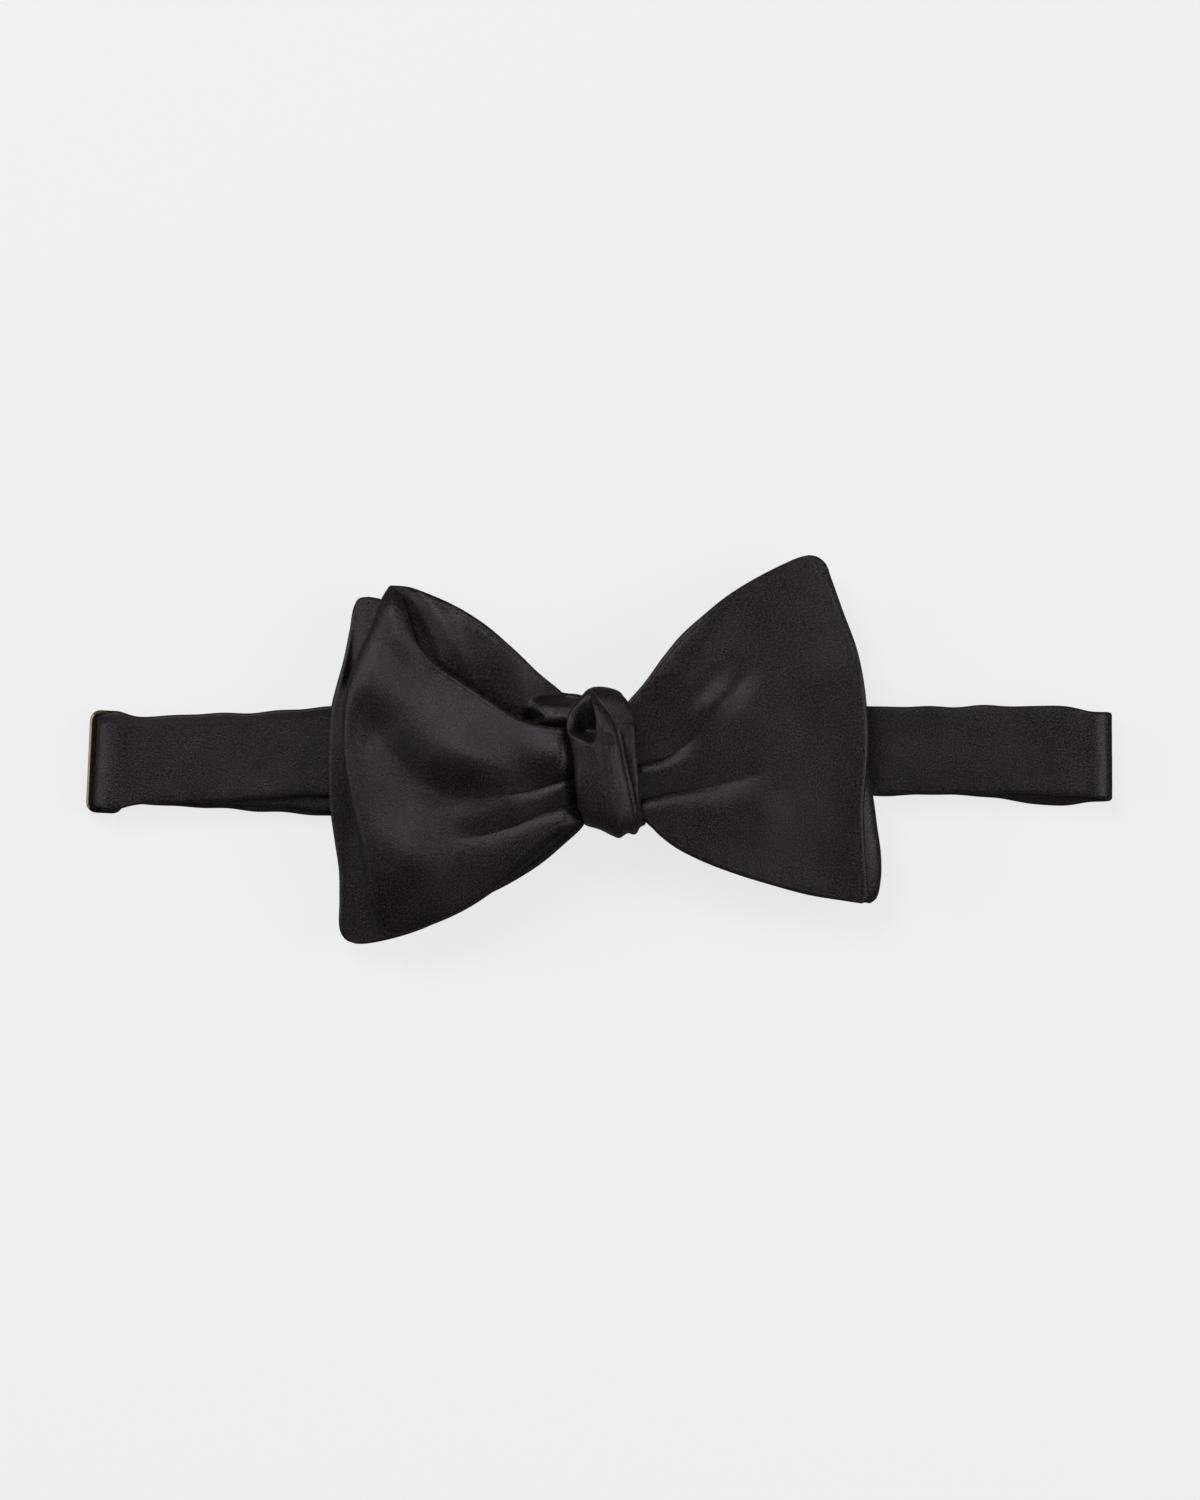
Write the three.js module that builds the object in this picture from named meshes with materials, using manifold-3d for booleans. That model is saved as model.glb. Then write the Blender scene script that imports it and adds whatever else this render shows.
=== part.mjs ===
// Self-tied silk bow tie on an adjustable neckband, lying flat on its back.
// Millimetres. +X runs along the neckband, +Y is the top of the bow as worn, +Z is its front.
// The origin is in the middle of the footprint, on the surface that the tie lies on.
import * as THREE from "three";
import { mergeVertices } from "three/addons/utils/BufferGeometryUtils.js";
import Module from "manifold-3d";

// ---------------------------------------------------------------- driving dimensions
const HALF_LENGTH = 116.6; // from the middle to each end of the flattened neckband

const BAND_WIDTH = 20;
const BAND_THICK = 1.2; // satin, interlining and satin again
const SATIN_WALL = 0.3; // the satin tube around a band's interlining
const BAND_INTERLINING = 0.3;
const BAND_INTERLINING_WIDTH = 18.8;
const LOOP_RADIUS = 3; // of the band's middle, where it turns back at either end

const PANEL = 0.4; // one satin panel of a wing
const INTERLINING = 0.4;
const PLY_PITCH = 0.6; // from the interlining's middle to a satin panel's middle
const STEPS = { tip: 9, leaf: 7, turn: 4, across: 7 }; // of the wings' surfaces

const SLIDE = { length: 8.4, height: 23.4, thick: 1.2, corner: 2.4, end_bar: 2.2, rail: 1.4 };
const SLIDE_SLOT = 3.4; // the slot that the band dives through
const CENTRE_BAR = 0.9;
const SMALL_SLOT = 1.1;
const SLIDE_FLOOR = 3; // underside of the slide
const SLIDE_CENTRE_Y = -2.5;
const SLIDE_LEAN = THREE.MathUtils.degToRad(-2.7);
const FOLD_END_X = -107.9; // where the piece of band round the slide meets the rest of the band

const EYE = { length: 9.5, height: 23.4, thick: 1.2, corner: 1.8, left: 44, end_bar: 1.8, strap_bar: 1.6, rail: 1.4 };
const HOOK = { length: 8, height: 23.4, corner: 1.8, left: 30, bar: 1.4, slot: 3, rail: 1.4 };
const PLATE_FLOOR = 1.7; // underside of the eye and of the hook's plate
const TONGUE = { width: 8, thick: 0.9, reach: 18, hook_back: 3.7, top: 4.1, bottom: 0.5 };

// The knot is a ring of cloth round the pinched middles of both bows.
const KNOT = { y: -2.8, z: 14.4, half_height: 16.8, half_depth: 9.9, wall: 1.2, squareness: 2.8 };
const UNDER_WRAP_INSET = 0.8;
const CORE = { from: -2.3, to: 4.3, floor: 9.3, gap: 0.35 };
const CROSSING = { from: -6.4, to: 7.6, bottom: -9.3, top: 3.3, floor: 7.1 };

const GAP = 0.3; // between cloth that touches on the real tie

const BAND_TOP_LAYER = 2 * LOOP_RADIUS + BAND_THICK / 2; // middle of the layer nearest the bow
const BAND_LOW_LAYER = BAND_THICK / 2; // middle of the layer that the tie lies on
const TAIL_LAYER = 2.2;

// ---------------------------------------------------------------- small helpers
const mix = (a, b, t) => a + (b - a) * t;
const smooth = (t) => t * t * (3 - 2 * t);
const arch = (t) => Math.sin(Math.PI * t);

// A smooth curve through a few points, walked at an even pace from 0 to 1.
function edge(points) {
  const curve = new THREE.SplineCurve(points.map(([x, y]) => new THREE.Vector2(x, y)));
  curve.arcLengthDivisions = 60;
  return (t) => curve.getPointAt(THREE.MathUtils.clamp(t, 0, 1));
}

function meshGeometry(points, triangles) {
  const geometry = new THREE.BufferGeometry();
  geometry.setAttribute("position", new THREE.Float32BufferAttribute(points.flatMap((p) => [p.x, p.y, p.z]), 3));
  geometry.setIndex(triangles.flat());
  geometry.computeVertexNormals();
  return geometry;
}

// ---------------------------------------------------------------- cloth: a surface given a thickness
// surface(u, v) is the middle of the cloth. The solid lies offset from it, along the surface's normal.
function sheetSolid(surface, { along, across, thick, offset = 0 }) {
  const step = 1e-3;
  const normal = (u, v) => {
    const at = (a, b) => surface(THREE.MathUtils.clamp(a, 0, 1), THREE.MathUtils.clamp(b, 0, 1));
    const du = at(u + step, v).sub(at(u - step, v));
    const dv = at(u, v + step).sub(at(u, v - step));
    return du.cross(dv).normalize();
  };
  const points = [];
  for (const side of [1, -1])
    for (let j = 0; j <= across; j++)
      for (let i = 0; i <= along; i++) {
        const [u, v] = [i / along, j / across];
        points.push(surface(u, v).addScaledVector(normal(u, v), offset + (side * thick) / 2));
      }
  const front = (i, j) => j * (along + 1) + i;
  const back = (i, j) => (along + 1) * (across + 1) + front(i, j);
  const triangles = [];
  const quad = (a, b, c, d) => triangles.push([a, b, c], [a, c, d]);
  for (let j = 0; j < across; j++)
    for (let i = 0; i < along; i++) {
      quad(front(i, j), front(i + 1, j), front(i + 1, j + 1), front(i, j + 1));
      quad(back(i, j), back(i, j + 1), back(i + 1, j + 1), back(i + 1, j));
    }
  for (let i = 0; i < along; i++) {
    quad(back(i, 0), back(i + 1, 0), front(i + 1, 0), front(i, 0));
    quad(back(i + 1, across), back(i, across), front(i, across), front(i + 1, across));
  }
  for (let j = 0; j < across; j++) {
    quad(back(along, j), back(along, j + 1), front(along, j + 1), front(along, j));
    quad(back(0, j + 1), back(0, j), front(0, j), front(0, j + 1));
  }
  return meshGeometry(points, triangles);
}

// ---------------------------------------------------------------- bands: a flat section swept along a path
// path is a list of [x, y, z], and the band's width lies along Y. With a wall it is a tube, open at both ends.
function bandSolid(path, { width = BAND_WIDTH, thick = BAND_THICK, wall = 0 } = {}) {
  const stations = path.map((p, i) => {
    const [a, b] = [path[Math.max(i - 1, 0)], path[Math.min(i + 1, path.length - 1)]];
    const tangent = new THREE.Vector2(b[0] - a[0], b[2] - a[2]).normalize();
    return { centre: new THREE.Vector3(...p), up: new THREE.Vector3(-tangent.y, 0, tangent.x) };
  });
  const ring = ({ centre, up }, w, t) =>
    [[-1, -1], [1, -1], [1, 1], [-1, 1]].map(([sy, sz]) =>
      centre.clone().addScaledVector(up, (sz * t) / 2).add(new THREE.Vector3(0, (sy * w) / 2, 0)));
  const points = [];
  for (const s of stations) {
    points.push(...ring(s, width, thick));
    if (wall) points.push(...ring(s, width - 2 * wall, thick - 2 * wall));
  }
  const size = wall ? 8 : 4;
  const triangles = [];
  const quad = (a, b, c, d) => triangles.push([a, b, c], [a, c, d]);
  for (let s = 0; s + 1 < stations.length; s++)
    for (let k = 0; k < 4; k++) {
      const [a, b] = [s * size + k, s * size + ((k + 1) % 4)];
      quad(a, b, b + size, a + size);
      if (wall) quad(b + 4, a + 4, a + 4 + size, b + 4 + size);
    }
  const last = (stations.length - 1) * size;
  if (wall)
    for (let k = 0; k < 4; k++) {
      const next = (k + 1) % 4;
      quad(next, k, k + 4, next + 4);
      quad(last + k, last + next, last + next + 4, last + k + 4);
    }
  else {
    quad(3, 2, 1, 0);
    quad(last, last + 1, last + 2, last + 3);
  }
  return meshGeometry(flipIfInsideOut(points, triangles), triangles);
}

// Turns the faces round if they enclose a negative volume, which depends on the way the path runs.
function flipIfInsideOut(points, triangles) {
  const volume = triangles.reduce((sum, [a, b, c]) =>
    sum + points[a].dot(new THREE.Vector3().crossVectors(points[b], points[c])), 0);
  if (volume < 0) triangles.forEach((t) => t.reverse());
  return points;
}

// Points of a half turn, from straight above the centre round to straight below it.
function halfTurn(x, y, z, radius, side, steps = 6) {
  return Array.from({ length: steps + 1 }, (_, i) => {
    const angle = Math.PI * (0.5 - i / steps);
    return [x + side * radius * Math.cos(angle), y, z + radius * Math.sin(angle)];
  });
}

// ---------------------------------------------------------------- flat plates with windows
function roundedRectangle(path, x, y, w, h, r) {
  path.moveTo(x + r, y);
  path.lineTo(x + w - r, y);
  path.absarc(x + w - r, y + r, r, -Math.PI / 2, 0);
  path.lineTo(x + w, y + h - r);
  path.absarc(x + w - r, y + h - r, r, 0, Math.PI / 2);
  path.lineTo(x + r, y + h);
  path.absarc(x + r, y + h - r, r, Math.PI / 2, Math.PI);
  path.lineTo(x, y + r);
  path.absarc(x + r, y + r, r, Math.PI, 1.5 * Math.PI);
  return path;
}

// A plate from x = 0 to its length, standing on z = 0, with each window given as [from, to] along x.
function plate({ length, height, thick, corner, rail }, windows) {
  const shape = roundedRectangle(new THREE.Shape(), 0, -height / 2, length, height, corner);
  for (const [from, to] of windows)
    shape.holes.push(roundedRectangle(new THREE.Path(), from, rail - height / 2, to - from, height - 2 * rail, 0.3));
  return new THREE.ExtrudeGeometry(shape, { depth: thick, bevelEnabled: false, curveSegments: 4 });
}

// ---------------------------------------------------------------- joins
const wasm = await Module();
wasm.setup();

function solid(geometry) {
  const bare = geometry.clone();
  bare.deleteAttribute("normal");
  bare.deleteAttribute("uv");
  const merged = mergeVertices(bare, 1e-4);
  const mesh = new wasm.Mesh({
    numProp: 3,
    vertProperties: merged.attributes.position.array,
    triVerts: new Uint32Array(merged.index.array),
  });
  return new wasm.Manifold(mesh);
}

function geometryOf(manifold) {
  const { vertProperties, triVerts } = manifold.getMesh();
  const geometry = new THREE.BufferGeometry();
  geometry.setAttribute("position", new THREE.BufferAttribute(new Float32Array(vertProperties), 3));
  geometry.setIndex(new THREE.BufferAttribute(new Uint32Array(triVerts), 1));
  geometry.computeVertexNormals();
  return geometry;
}

const joined = (...geometries) => geometryOf(geometries.map(solid).reduce((a, b) => a.add(b)));

function box(x0, x1, y0, y1, z0, z1) {
  return new THREE.BoxGeometry(x1 - x0, y1 - y0, z1 - z0).translate((x0 + x1) / 2, (y0 + y1) / 2, (z0 + z1) / 2);
}

// ---------------------------------------------------------------- materials
const fabric = (color, roughness) => new THREE.MeshStandardMaterial({ color, roughness, metalness: 0 });
const SATIN = fabric(0x26232a, 0.45);
const CANVAS = fabric(0x4a4640, 0.95);
const THREAD = fabric(0x1b191c, 0.6);
const METAL = new THREE.MeshStandardMaterial({ color: 0x4b4338, roughness: 0.3, metalness: 1 });

const tie = new THREE.Group();

function add(name, geometry, material, parent = tie) {
  const mesh = new THREE.Mesh(geometry, material);
  mesh.name = name;
  parent.add(mesh);
  return mesh;
}

// ---------------------------------------------------------------- wings
const FOLD_STEPS = 2 * STEPS.leaf + STEPS.turn;

// A wing's plan is four-sided: top and bottom edges run out from the knot, and outer joins their ends, upwards.
function planOf({ top, bottom, outer }) {
  const [t, b, o] = [edge(top), edge(bottom), edge(outer)];
  const [topEnd, bottomEnd] = [t(1), b(1)];
  return (u, v) => {
    const [high, low, out] = [t(u), b(u), o(v)];
    const pull = u ** 2.5; // how far the shape of the outer edge reaches inwards
    return [
      mix(low.x, high.x, v) + pull * (out.x - mix(bottomEnd.x, topEnd.x, v)),
      mix(low.y, high.y, v) + pull * (out.y - mix(bottomEnd.y, topEnd.y, v)),
    ];
  };
}

// A loose end: one flat leaf.
function tipSurface(outline, height) {
  const plan = planOf(outline);
  return (u, v) => {
    const [x, y] = plan(u, v);
    return new THREE.Vector3(x, y, height(u, v, y));
  };
}

// A folded end has stations at both ends of its turn: the front leaf runs out from the knot, turns round a soft fold and runs back as the rear leaf.
// crest is the fold's outline, side is -1 to the left and 1 to the right, and radius and level vary up the fold.
function foldSurface({ front, rear, crest, side, radius, level, frontHeight, rearHeight }) {
  const line = edge(crest);
  const inner = (v) => [line(v).x - side * radius(v), line(v).y];
  const outer = Array.from({ length: 9 }, (_, i) => inner(i / 8));
  const frontPlan = planOf({ ...front, outer });
  const rearPlan = planOf({ ...rear, outer });
  const TURN_FROM = STEPS.leaf / FOLD_STEPS;
  const TURN_TO = 1 - TURN_FROM;
  return (s, v) => {
    if (s < TURN_FROM) {
      const u = s / TURN_FROM;
      const [x, y] = frontPlan(u, v);
      return new THREE.Vector3(x, y, frontHeight(u, v));
    }
    if (s > TURN_TO) {
      const u = (1 - s) / (1 - TURN_TO);
      const [x, y] = rearPlan(u, v);
      return new THREE.Vector3(x, y, rearHeight(u, v));
    }
    const angle = Math.PI * (0.5 - (s - TURN_FROM) / (TURN_TO - TURN_FROM));
    const [x, y] = frontPlan(1, v);
    return new THREE.Vector3(
      x + side * radius(v) * Math.cos(angle), y, level(v) + radius(v) * Math.sin(angle));
  };
}

// Front bow, left: the big folded wing.
const frontFold = (() => {
  const radius = (v) => 1.5 + 2.8 * arch(v);
  const level = (v) => 10.6 + 4.9 * arch(v) ** 0.7;
  return foldSurface({
    side: -1,
    front: {
      top: [[-2.6, 4.5], [-8, 5], [-17, 6.8], [-27.3, 11.3], [-36.2, 17.6], [-42.3, 24.7], [-44.6, 31.5], [-46, 36.6]],
      bottom: [[-2.6, -14.2], [-6, -16.2], [-10.7, -20.7], [-23.4, -30.9], [-34.9, -38.2], [-45, -41.4]],
    },
    rear: {
      top: [[-2.6, 10.2], [-7.8, 12.6], [-13.5, 18.2], [-20.3, 25.3], [-30.6, 32.4], [-40.8, 36.6], [-46, 37.4]],
      bottom: [[-2.6, -13.8], [-10, -21.2], [-20, -29.8], [-32, -37.2], [-45, -41.6]],
    },
    crest: [[-46.5, -41.8], [-51.8, -36.6], [-55.2, -20], [-58.2, -3], [-57.5, 13.8], [-53.7, 26.6], [-47.5, 37.6]],
    radius,
    level,
    frontHeight: (u, v) =>
      mix(19.5, level(v) + radius(v), smooth(u)) + 3.8 * arch(u) ** 2 * (0.3 + 0.7 * v),
    rearHeight: (u, v) => mix(15.5, level(v) - radius(v), smooth(u)),
  });
})();

// Front bow, right: the loose end on top.
const frontTip = tipSurface({
  top: [[4.6, 7.2], [7.6, 10.6], [11.7, 17], [20.2, 28.2], [31.8, 37.5], [42.7, 42.9], [49.5, 44]],
  bottom: [[4.6, -12.6], [9.4, -14.8], [13.6, -19.2], [23.3, -25.5], [36.6, -30.3], [48.8, -33.4], [60.5, -34.4]],
  outer: [[60.5, -34.4], [60.2, -22], [59.9, -6], [60.8, 8.3], [58.6, 22.9], [53.7, 35.7], [49.5, 44]],
}, (u, v, y) => mix(18.5, 15.3 - 0.003 * y * y, smooth(u)) + 1.5 * arch(u) ** 2);

// Back bow, left: the loose end behind the fold.
const backTip = tipSurface({
  top: [[-2.6, 9.4], [-20, 20], [-38, 30], [-54.3, 34.7]],
  bottom: [[-2.6, -13.8], [-10.1, -22.3], [-20.3, -31.2], [-34, -38], [-47.6, -42.4], [-57, -44]],
  outer: [[-57, -44], [-59.1, -36], [-60.4, -22], [-61.8, -8], [-61.6, 4], [-59.7, 14.5], [-57.4, 26], [-54.3, 34.7]],
}, (u, v, y) => mix(11.3, 9.4 - 0.0022 * (y + 2) ** 2, smooth(u)));

// Back bow, right: the folded wing behind the loose end.
const backFold = (() => {
  const radius = (v) => 1.3 + 0.5 * arch(v);
  const level = (v) => 6.9 + 4.3 * arch(v) ** 0.7;
  const leaf = {
    top: [[4.6, 6.8], [8.5, 10.6], [20, 23], [36, 33.6], [47.5, 37]],
    bottom: [[4.6, -12], [9.5, -14.6], [15, -19.2], [28, -26], [45, -31.4], [60.5, -34]],
  };
  return foldSurface({
    side: 1,
    front: leaf,
    rear: leaf,
    crest: [[62, -34.2], [63.9, -27], [63.4, -18], [61.8, -5], [60.2, 8], [56.5, 22], [49, 37]],
    radius,
    level,
    frontHeight: (u, v) => mix(13.2, level(v) + radius(v), smooth(u)),
    rearHeight: (u, v) => mix(10.3, level(v) - radius(v), smooth(u)),
  });
})();

// Each wing is three plies: a satin panel, the interlining and the satin panel behind.
// faceSide says which way the surface's normal points: 1 towards the outside of the cloth.
function addWing(names, surface, along, faceSide) {
  const size = { along, across: STEPS.across };
  const [face, interlining, back] = names;
  add(face, sheetSolid(surface, { ...size, thick: PANEL, offset: faceSide * PLY_PITCH }), SATIN);
  add(interlining, sheetSolid(surface, { ...size, thick: INTERLINING }), CANVAS);
  add(back, sheetSolid(surface, { ...size, thick: PANEL, offset: -faceSide * PLY_PITCH }), SATIN);
}

addWing(["front_fold_face", "front_fold_interlining", "front_fold_lining"], frontFold, FOLD_STEPS, -1);
addWing(["front_tip_face", "front_tip_interlining", "front_tip_back"], frontTip, STEPS.tip, 1);
addWing(["back_tip_face", "back_tip_interlining", "back_tip_back"], backTip, STEPS.tip, -1);
addWing(["back_fold_face", "back_fold_interlining", "back_fold_lining"], backFold, FOLD_STEPS, 1);

// ---------------------------------------------------------------- knot
// The knot's outline in Y and Z, drawn in by inset.
function knotOutline(Target, inset, floor = -Infinity, steps = 32) {
  const power = 2 / KNOT.squareness;
  const round = (c) => Math.sign(c) * Math.abs(c) ** power;
  const points = Array.from({ length: steps }, (_, i) => {
    const angle = (2 * Math.PI * i) / steps;
    return new THREE.Vector2(
      KNOT.y + (KNOT.half_height - inset) * round(Math.cos(angle)),
      Math.max(floor, KNOT.z + (KNOT.half_depth - inset) * round(Math.sin(angle))),
    );
  });
  return new Target(points);
}

// Extrudes an outline given in Y and Z along +X.
function alongX(shape, from, to) {
  return new THREE.ExtrudeGeometry(shape, { depth: to - from, bevelEnabled: false })
    .applyMatrix4(new THREE.Matrix4().set(0, 0, 1, from, 1, 0, 0, 0, 0, 1, 0, 0, 0, 0, 0, 1));
}

// A wrap is a ring one unit wide that is then spread between its two edges, which are functions of y.
function knotRing(left, right, inset) {
  const shape = knotOutline(THREE.Shape, inset);
  shape.holes.push(knotOutline(THREE.Path, inset + KNOT.wall));
  const geometry = alongX(shape, 0, 1);
  const at = geometry.attributes.position;
  for (let i = 0; i < at.count; i++) at.setX(i, mix(left(at.getY(i)), right(at.getY(i)), at.getX(i)));
  return geometry;
}

const wrapLeft = (y) => 0.012 * (y + 2) ** 2 - 7.4;
const wrapRight = (y) => 4.9 - 0.2 * y;
const underWrapRight = (y) => 8.1 - 0.1 * y;
add("knot_wrap", knotRing(wrapLeft, wrapRight, 0), SATIN);
add("knot_under_wrap", knotRing((y) => wrapRight(y) + GAP, underWrapRight, UNDER_WRAP_INSET), SATIN);

const coreInset = KNOT.wall + UNDER_WRAP_INSET + CORE.gap;
add("knot_core", alongX(knotOutline(THREE.Shape, coreInset, CORE.floor), CORE.from, CORE.to), SATIN);
add("band_crossing",
  box(CROSSING.from, CROSSING.to, CROSSING.bottom, CROSSING.top, CROSSING.floor, CORE.floor - GAP), SATIN);

// ---------------------------------------------------------------- right band: knot, end loop, back to the eye
const TURN_X = HALF_LENGTH - LOOP_RADIUS - BAND_THICK / 2;
const EYE_BAR = [EYE.left + EYE.length - EYE.strap_bar, EYE.left + EYE.length];
const rightPath = [
  [10.8, 0, BAND_TOP_LAYER],
  ...halfTurn(TURN_X, 0, LOOP_RADIUS + BAND_THICK / 2, LOOP_RADIUS, 1, 8)
    .map(([x, , z], i) => [x, -1.5 * smooth(i / 8), z]),
  [EYE_BAR[1] + 1, -0.8, BAND_LOW_LAYER],
];
const INTERLINED = { width: BAND_INTERLINING_WIDTH, thick: BAND_INTERLINING };
add("right_band", bandSolid(rightPath, { wall: SATIN_WALL }), SATIN);
add("right_band_interlining", bandSolid(rightPath, INTERLINED), CANVAS);

// ---------------------------------------------------------------- left band, up to the slide
const leftPath = [
  [-9.8, 1.4, BAND_TOP_LAYER],
  [-60, -0.4, BAND_TOP_LAYER],
  [FOLD_END_X + GAP, SLIDE_CENTRE_Y, BAND_TOP_LAYER],
];
add("left_band", bandSolid(leftPath, { wall: SATIN_WALL }), SATIN);
add("left_band_interlining", bandSolid(leftPath, INTERLINED), CANVAS);

// ---------------------------------------------------------------- adjuster at the left end
// Built square to the band about its own middle, then leaned as the slide sits.
const slideLeft = -HALF_LENGTH;
const slot = [slideLeft + SLIDE.end_bar, slideLeft + SLIDE.end_bar + SLIDE_SLOT];
const centreBar = [slot[1], slot[1] + CENTRE_BAR];
const smallSlot = [centreBar[1], centreBar[1] + SMALL_SLOT];
const FOLD_INSET = 1.35; // from the slot's left edge to the band's middle

const adjuster = new THREE.Group();
adjuster.position.set(slideLeft, SLIDE_CENTRE_Y, 0);
adjuster.rotation.z = SLIDE_LEAN;
tie.add(adjuster);
const inAdjuster = (geometry) => geometry.translate(-slideLeft, 0, 0);

add("adjuster_slide",
  plate(SLIDE, [slot, smallSlot].map((w) => w.map((x) => x - slideLeft))).translate(0, 0, SLIDE_FLOOR),
  METAL, adjuster);

add("adjuster_fold", bandSolid([
  [FOLD_END_X, SLIDE_CENTRE_Y, BAND_TOP_LAYER],
  ...halfTurn(slot[0] + FOLD_INSET + LOOP_RADIUS, SLIDE_CENTRE_Y, LOOP_RADIUS + BAND_THICK / 2, LOOP_RADIUS, -1, 8),
  [FOLD_END_X, SLIDE_CENTRE_Y, BAND_LOW_LAYER],
]), SATIN);

// The tail's end goes round the centre bar and is sewn down to itself.
const LOOP_WALL = 0.5;
const LOOP_GAP = 0.2;
const SLIDE_TOP = SLIDE_FLOOR + SLIDE.thick;
const TAIL_HALF = 9.6;
const TAIL_TONGUE_END = -101;
function loopRound(bar, floor, top, half) {
  const shape = new THREE.Shape();
  roundedRectangle(shape, bar[0] - LOOP_GAP - LOOP_WALL, floor - LOOP_GAP - LOOP_WALL,
    bar[1] - bar[0] + 2 * (LOOP_GAP + LOOP_WALL), top - floor + 2 * (LOOP_GAP + LOOP_WALL), 0.5);
  shape.holes.push(roundedRectangle(new THREE.Path(), bar[0] - LOOP_GAP, floor - LOOP_GAP,
    bar[1] - bar[0] + 2 * LOOP_GAP, top - floor + 2 * LOOP_GAP, 0.15));
  // The outline is drawn in X and Z and extruded along Y.
  return new THREE.ExtrudeGeometry(shape, { depth: 2 * half, bevelEnabled: false, curveSegments: 2 })
    .rotateX(Math.PI / 2).translate(0, half, 0);
}
const tongueFloor = SLIDE_FLOOR - LOOP_GAP - LOOP_WALL;
add("tail_end_loop", inAdjuster(joined(
  loopRound(centreBar, SLIDE_FLOOR, SLIDE_TOP, TAIL_HALF),
  box(centreBar[0], TAIL_TONGUE_END, -TAIL_HALF, TAIL_HALF, tongueFloor, tongueFloor + LOOP_WALL),
)), SATIN, adjuster);
add("tail_bar_tack", inAdjuster(
  box(-105, -103.8, -8, 8, tongueFloor + LOOP_WALL + 0.1, tongueFloor + LOOP_WALL + 0.4)),
  THREAD, adjuster);

// ---------------------------------------------------------------- doubled strap under the left band
const hookBar = [HOOK.left, HOOK.left + HOOK.bar];
const hookBarX = (hookBar[0] + hookBar[1]) / 2;
const PLATE_MIDDLE = PLATE_FLOOR + EYE.thick / 2;
const HOOK_LOOP_RADIUS = 1.7;
const HOOK_Y = -3;
const hookLoopStart = hookBarX - 2.6;
add("adjuster_strap", bandSolid([
  [FOLD_END_X + GAP, SLIDE_CENTRE_Y, BAND_LOW_LAYER],
  [-62, -5, BAND_LOW_LAYER],
  [-20, -5, BAND_LOW_LAYER],
  [hookLoopStart - GAP, HOOK_Y, BAND_LOW_LAYER],
]), SATIN);
add("adjuster_tail", bandSolid([
  [TAIL_TONGUE_END + 0.9, SLIDE_CENTRE_Y, TAIL_LAYER],
  [-62, -4, TAIL_LAYER],
  [12, HOOK_Y - 1, TAIL_LAYER],
  [hookLoopStart - GAP, HOOK_Y, PLATE_MIDDLE + HOOK_LOOP_RADIUS],
]), SATIN);

// ---------------------------------------------------------------- hook and eye
add("hook_strap_loop", bandSolid([
  [hookLoopStart, HOOK_Y, PLATE_MIDDLE + HOOK_LOOP_RADIUS],
  ...halfTurn(hookBarX, HOOK_Y, PLATE_MIDDLE, HOOK_LOOP_RADIUS, 1),
  [hookLoopStart, HOOK_Y, PLATE_MIDDLE - HOOK_LOOP_RADIUS],
]), SATIN);

// The tongue rises off the hook's plate, passes over the eye's end bar and hooks back under it.
function tongueProfile() {
  const { thick, reach, hook_back, top, bottom } = TONGUE;
  const root = HOOK.left + HOOK.length - 3;
  const tip = HOOK.left + reach;
  return new THREE.Shape([
    [root, PLATE_FLOOR], [HOOK.left + HOOK.length, PLATE_FLOOR], [HOOK.left + HOOK.length, top - thick],
    [tip - thick, top - thick], [tip - thick, bottom + thick], [tip - hook_back, bottom + thick],
    [tip - hook_back, bottom], [tip, bottom], [tip, top], [root, top],
  ].map(([x, z]) => new THREE.Vector2(x, z)));
}
add("closure_hook", joined(
  plate({ ...HOOK, thick: EYE.thick }, [[HOOK.bar, HOOK.bar + HOOK.slot]]).translate(HOOK.left, HOOK_Y, PLATE_FLOOR),
  new THREE.ExtrudeGeometry(tongueProfile(), { depth: TONGUE.width, bevelEnabled: false })
    .rotateX(Math.PI / 2).translate(0, HOOK_Y + TONGUE.width / 2, 0),
), METAL);

const EYE_Y = -1.6;
add("closure_eye",
  plate(EYE, [[EYE.end_bar, EYE.length - EYE.strap_bar]]).translate(EYE.left, EYE_Y, PLATE_FLOOR), METAL);
const eyeLoopTop = PLATE_FLOOR + EYE.thick + LOOP_GAP + LOOP_WALL;
const EYE_TAB_END = EYE_BAR[1] + 7;
add("eye_strap_loop", joined(
  loopRound(EYE_BAR, PLATE_FLOOR, PLATE_FLOOR + EYE.thick, TAIL_HALF),
  box(EYE_BAR[1], EYE_TAB_END, -TAIL_HALF, TAIL_HALF, eyeLoopTop - LOOP_WALL, eyeLoopTop),
).translate(0, EYE_Y, 0), SATIN);
add("eye_bar_tack",
  box(EYE_BAR[1] + 3.6, EYE_BAR[1] + 4.8, EYE_Y - 8, EYE_Y + 8, eyeLoopTop + 0.1, eyeLoopTop + 0.4), THREAD);

export default tie;
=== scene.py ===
import math

import bmesh
import bpy
import numpy as np
from mathutils import Matrix, Vector


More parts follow.
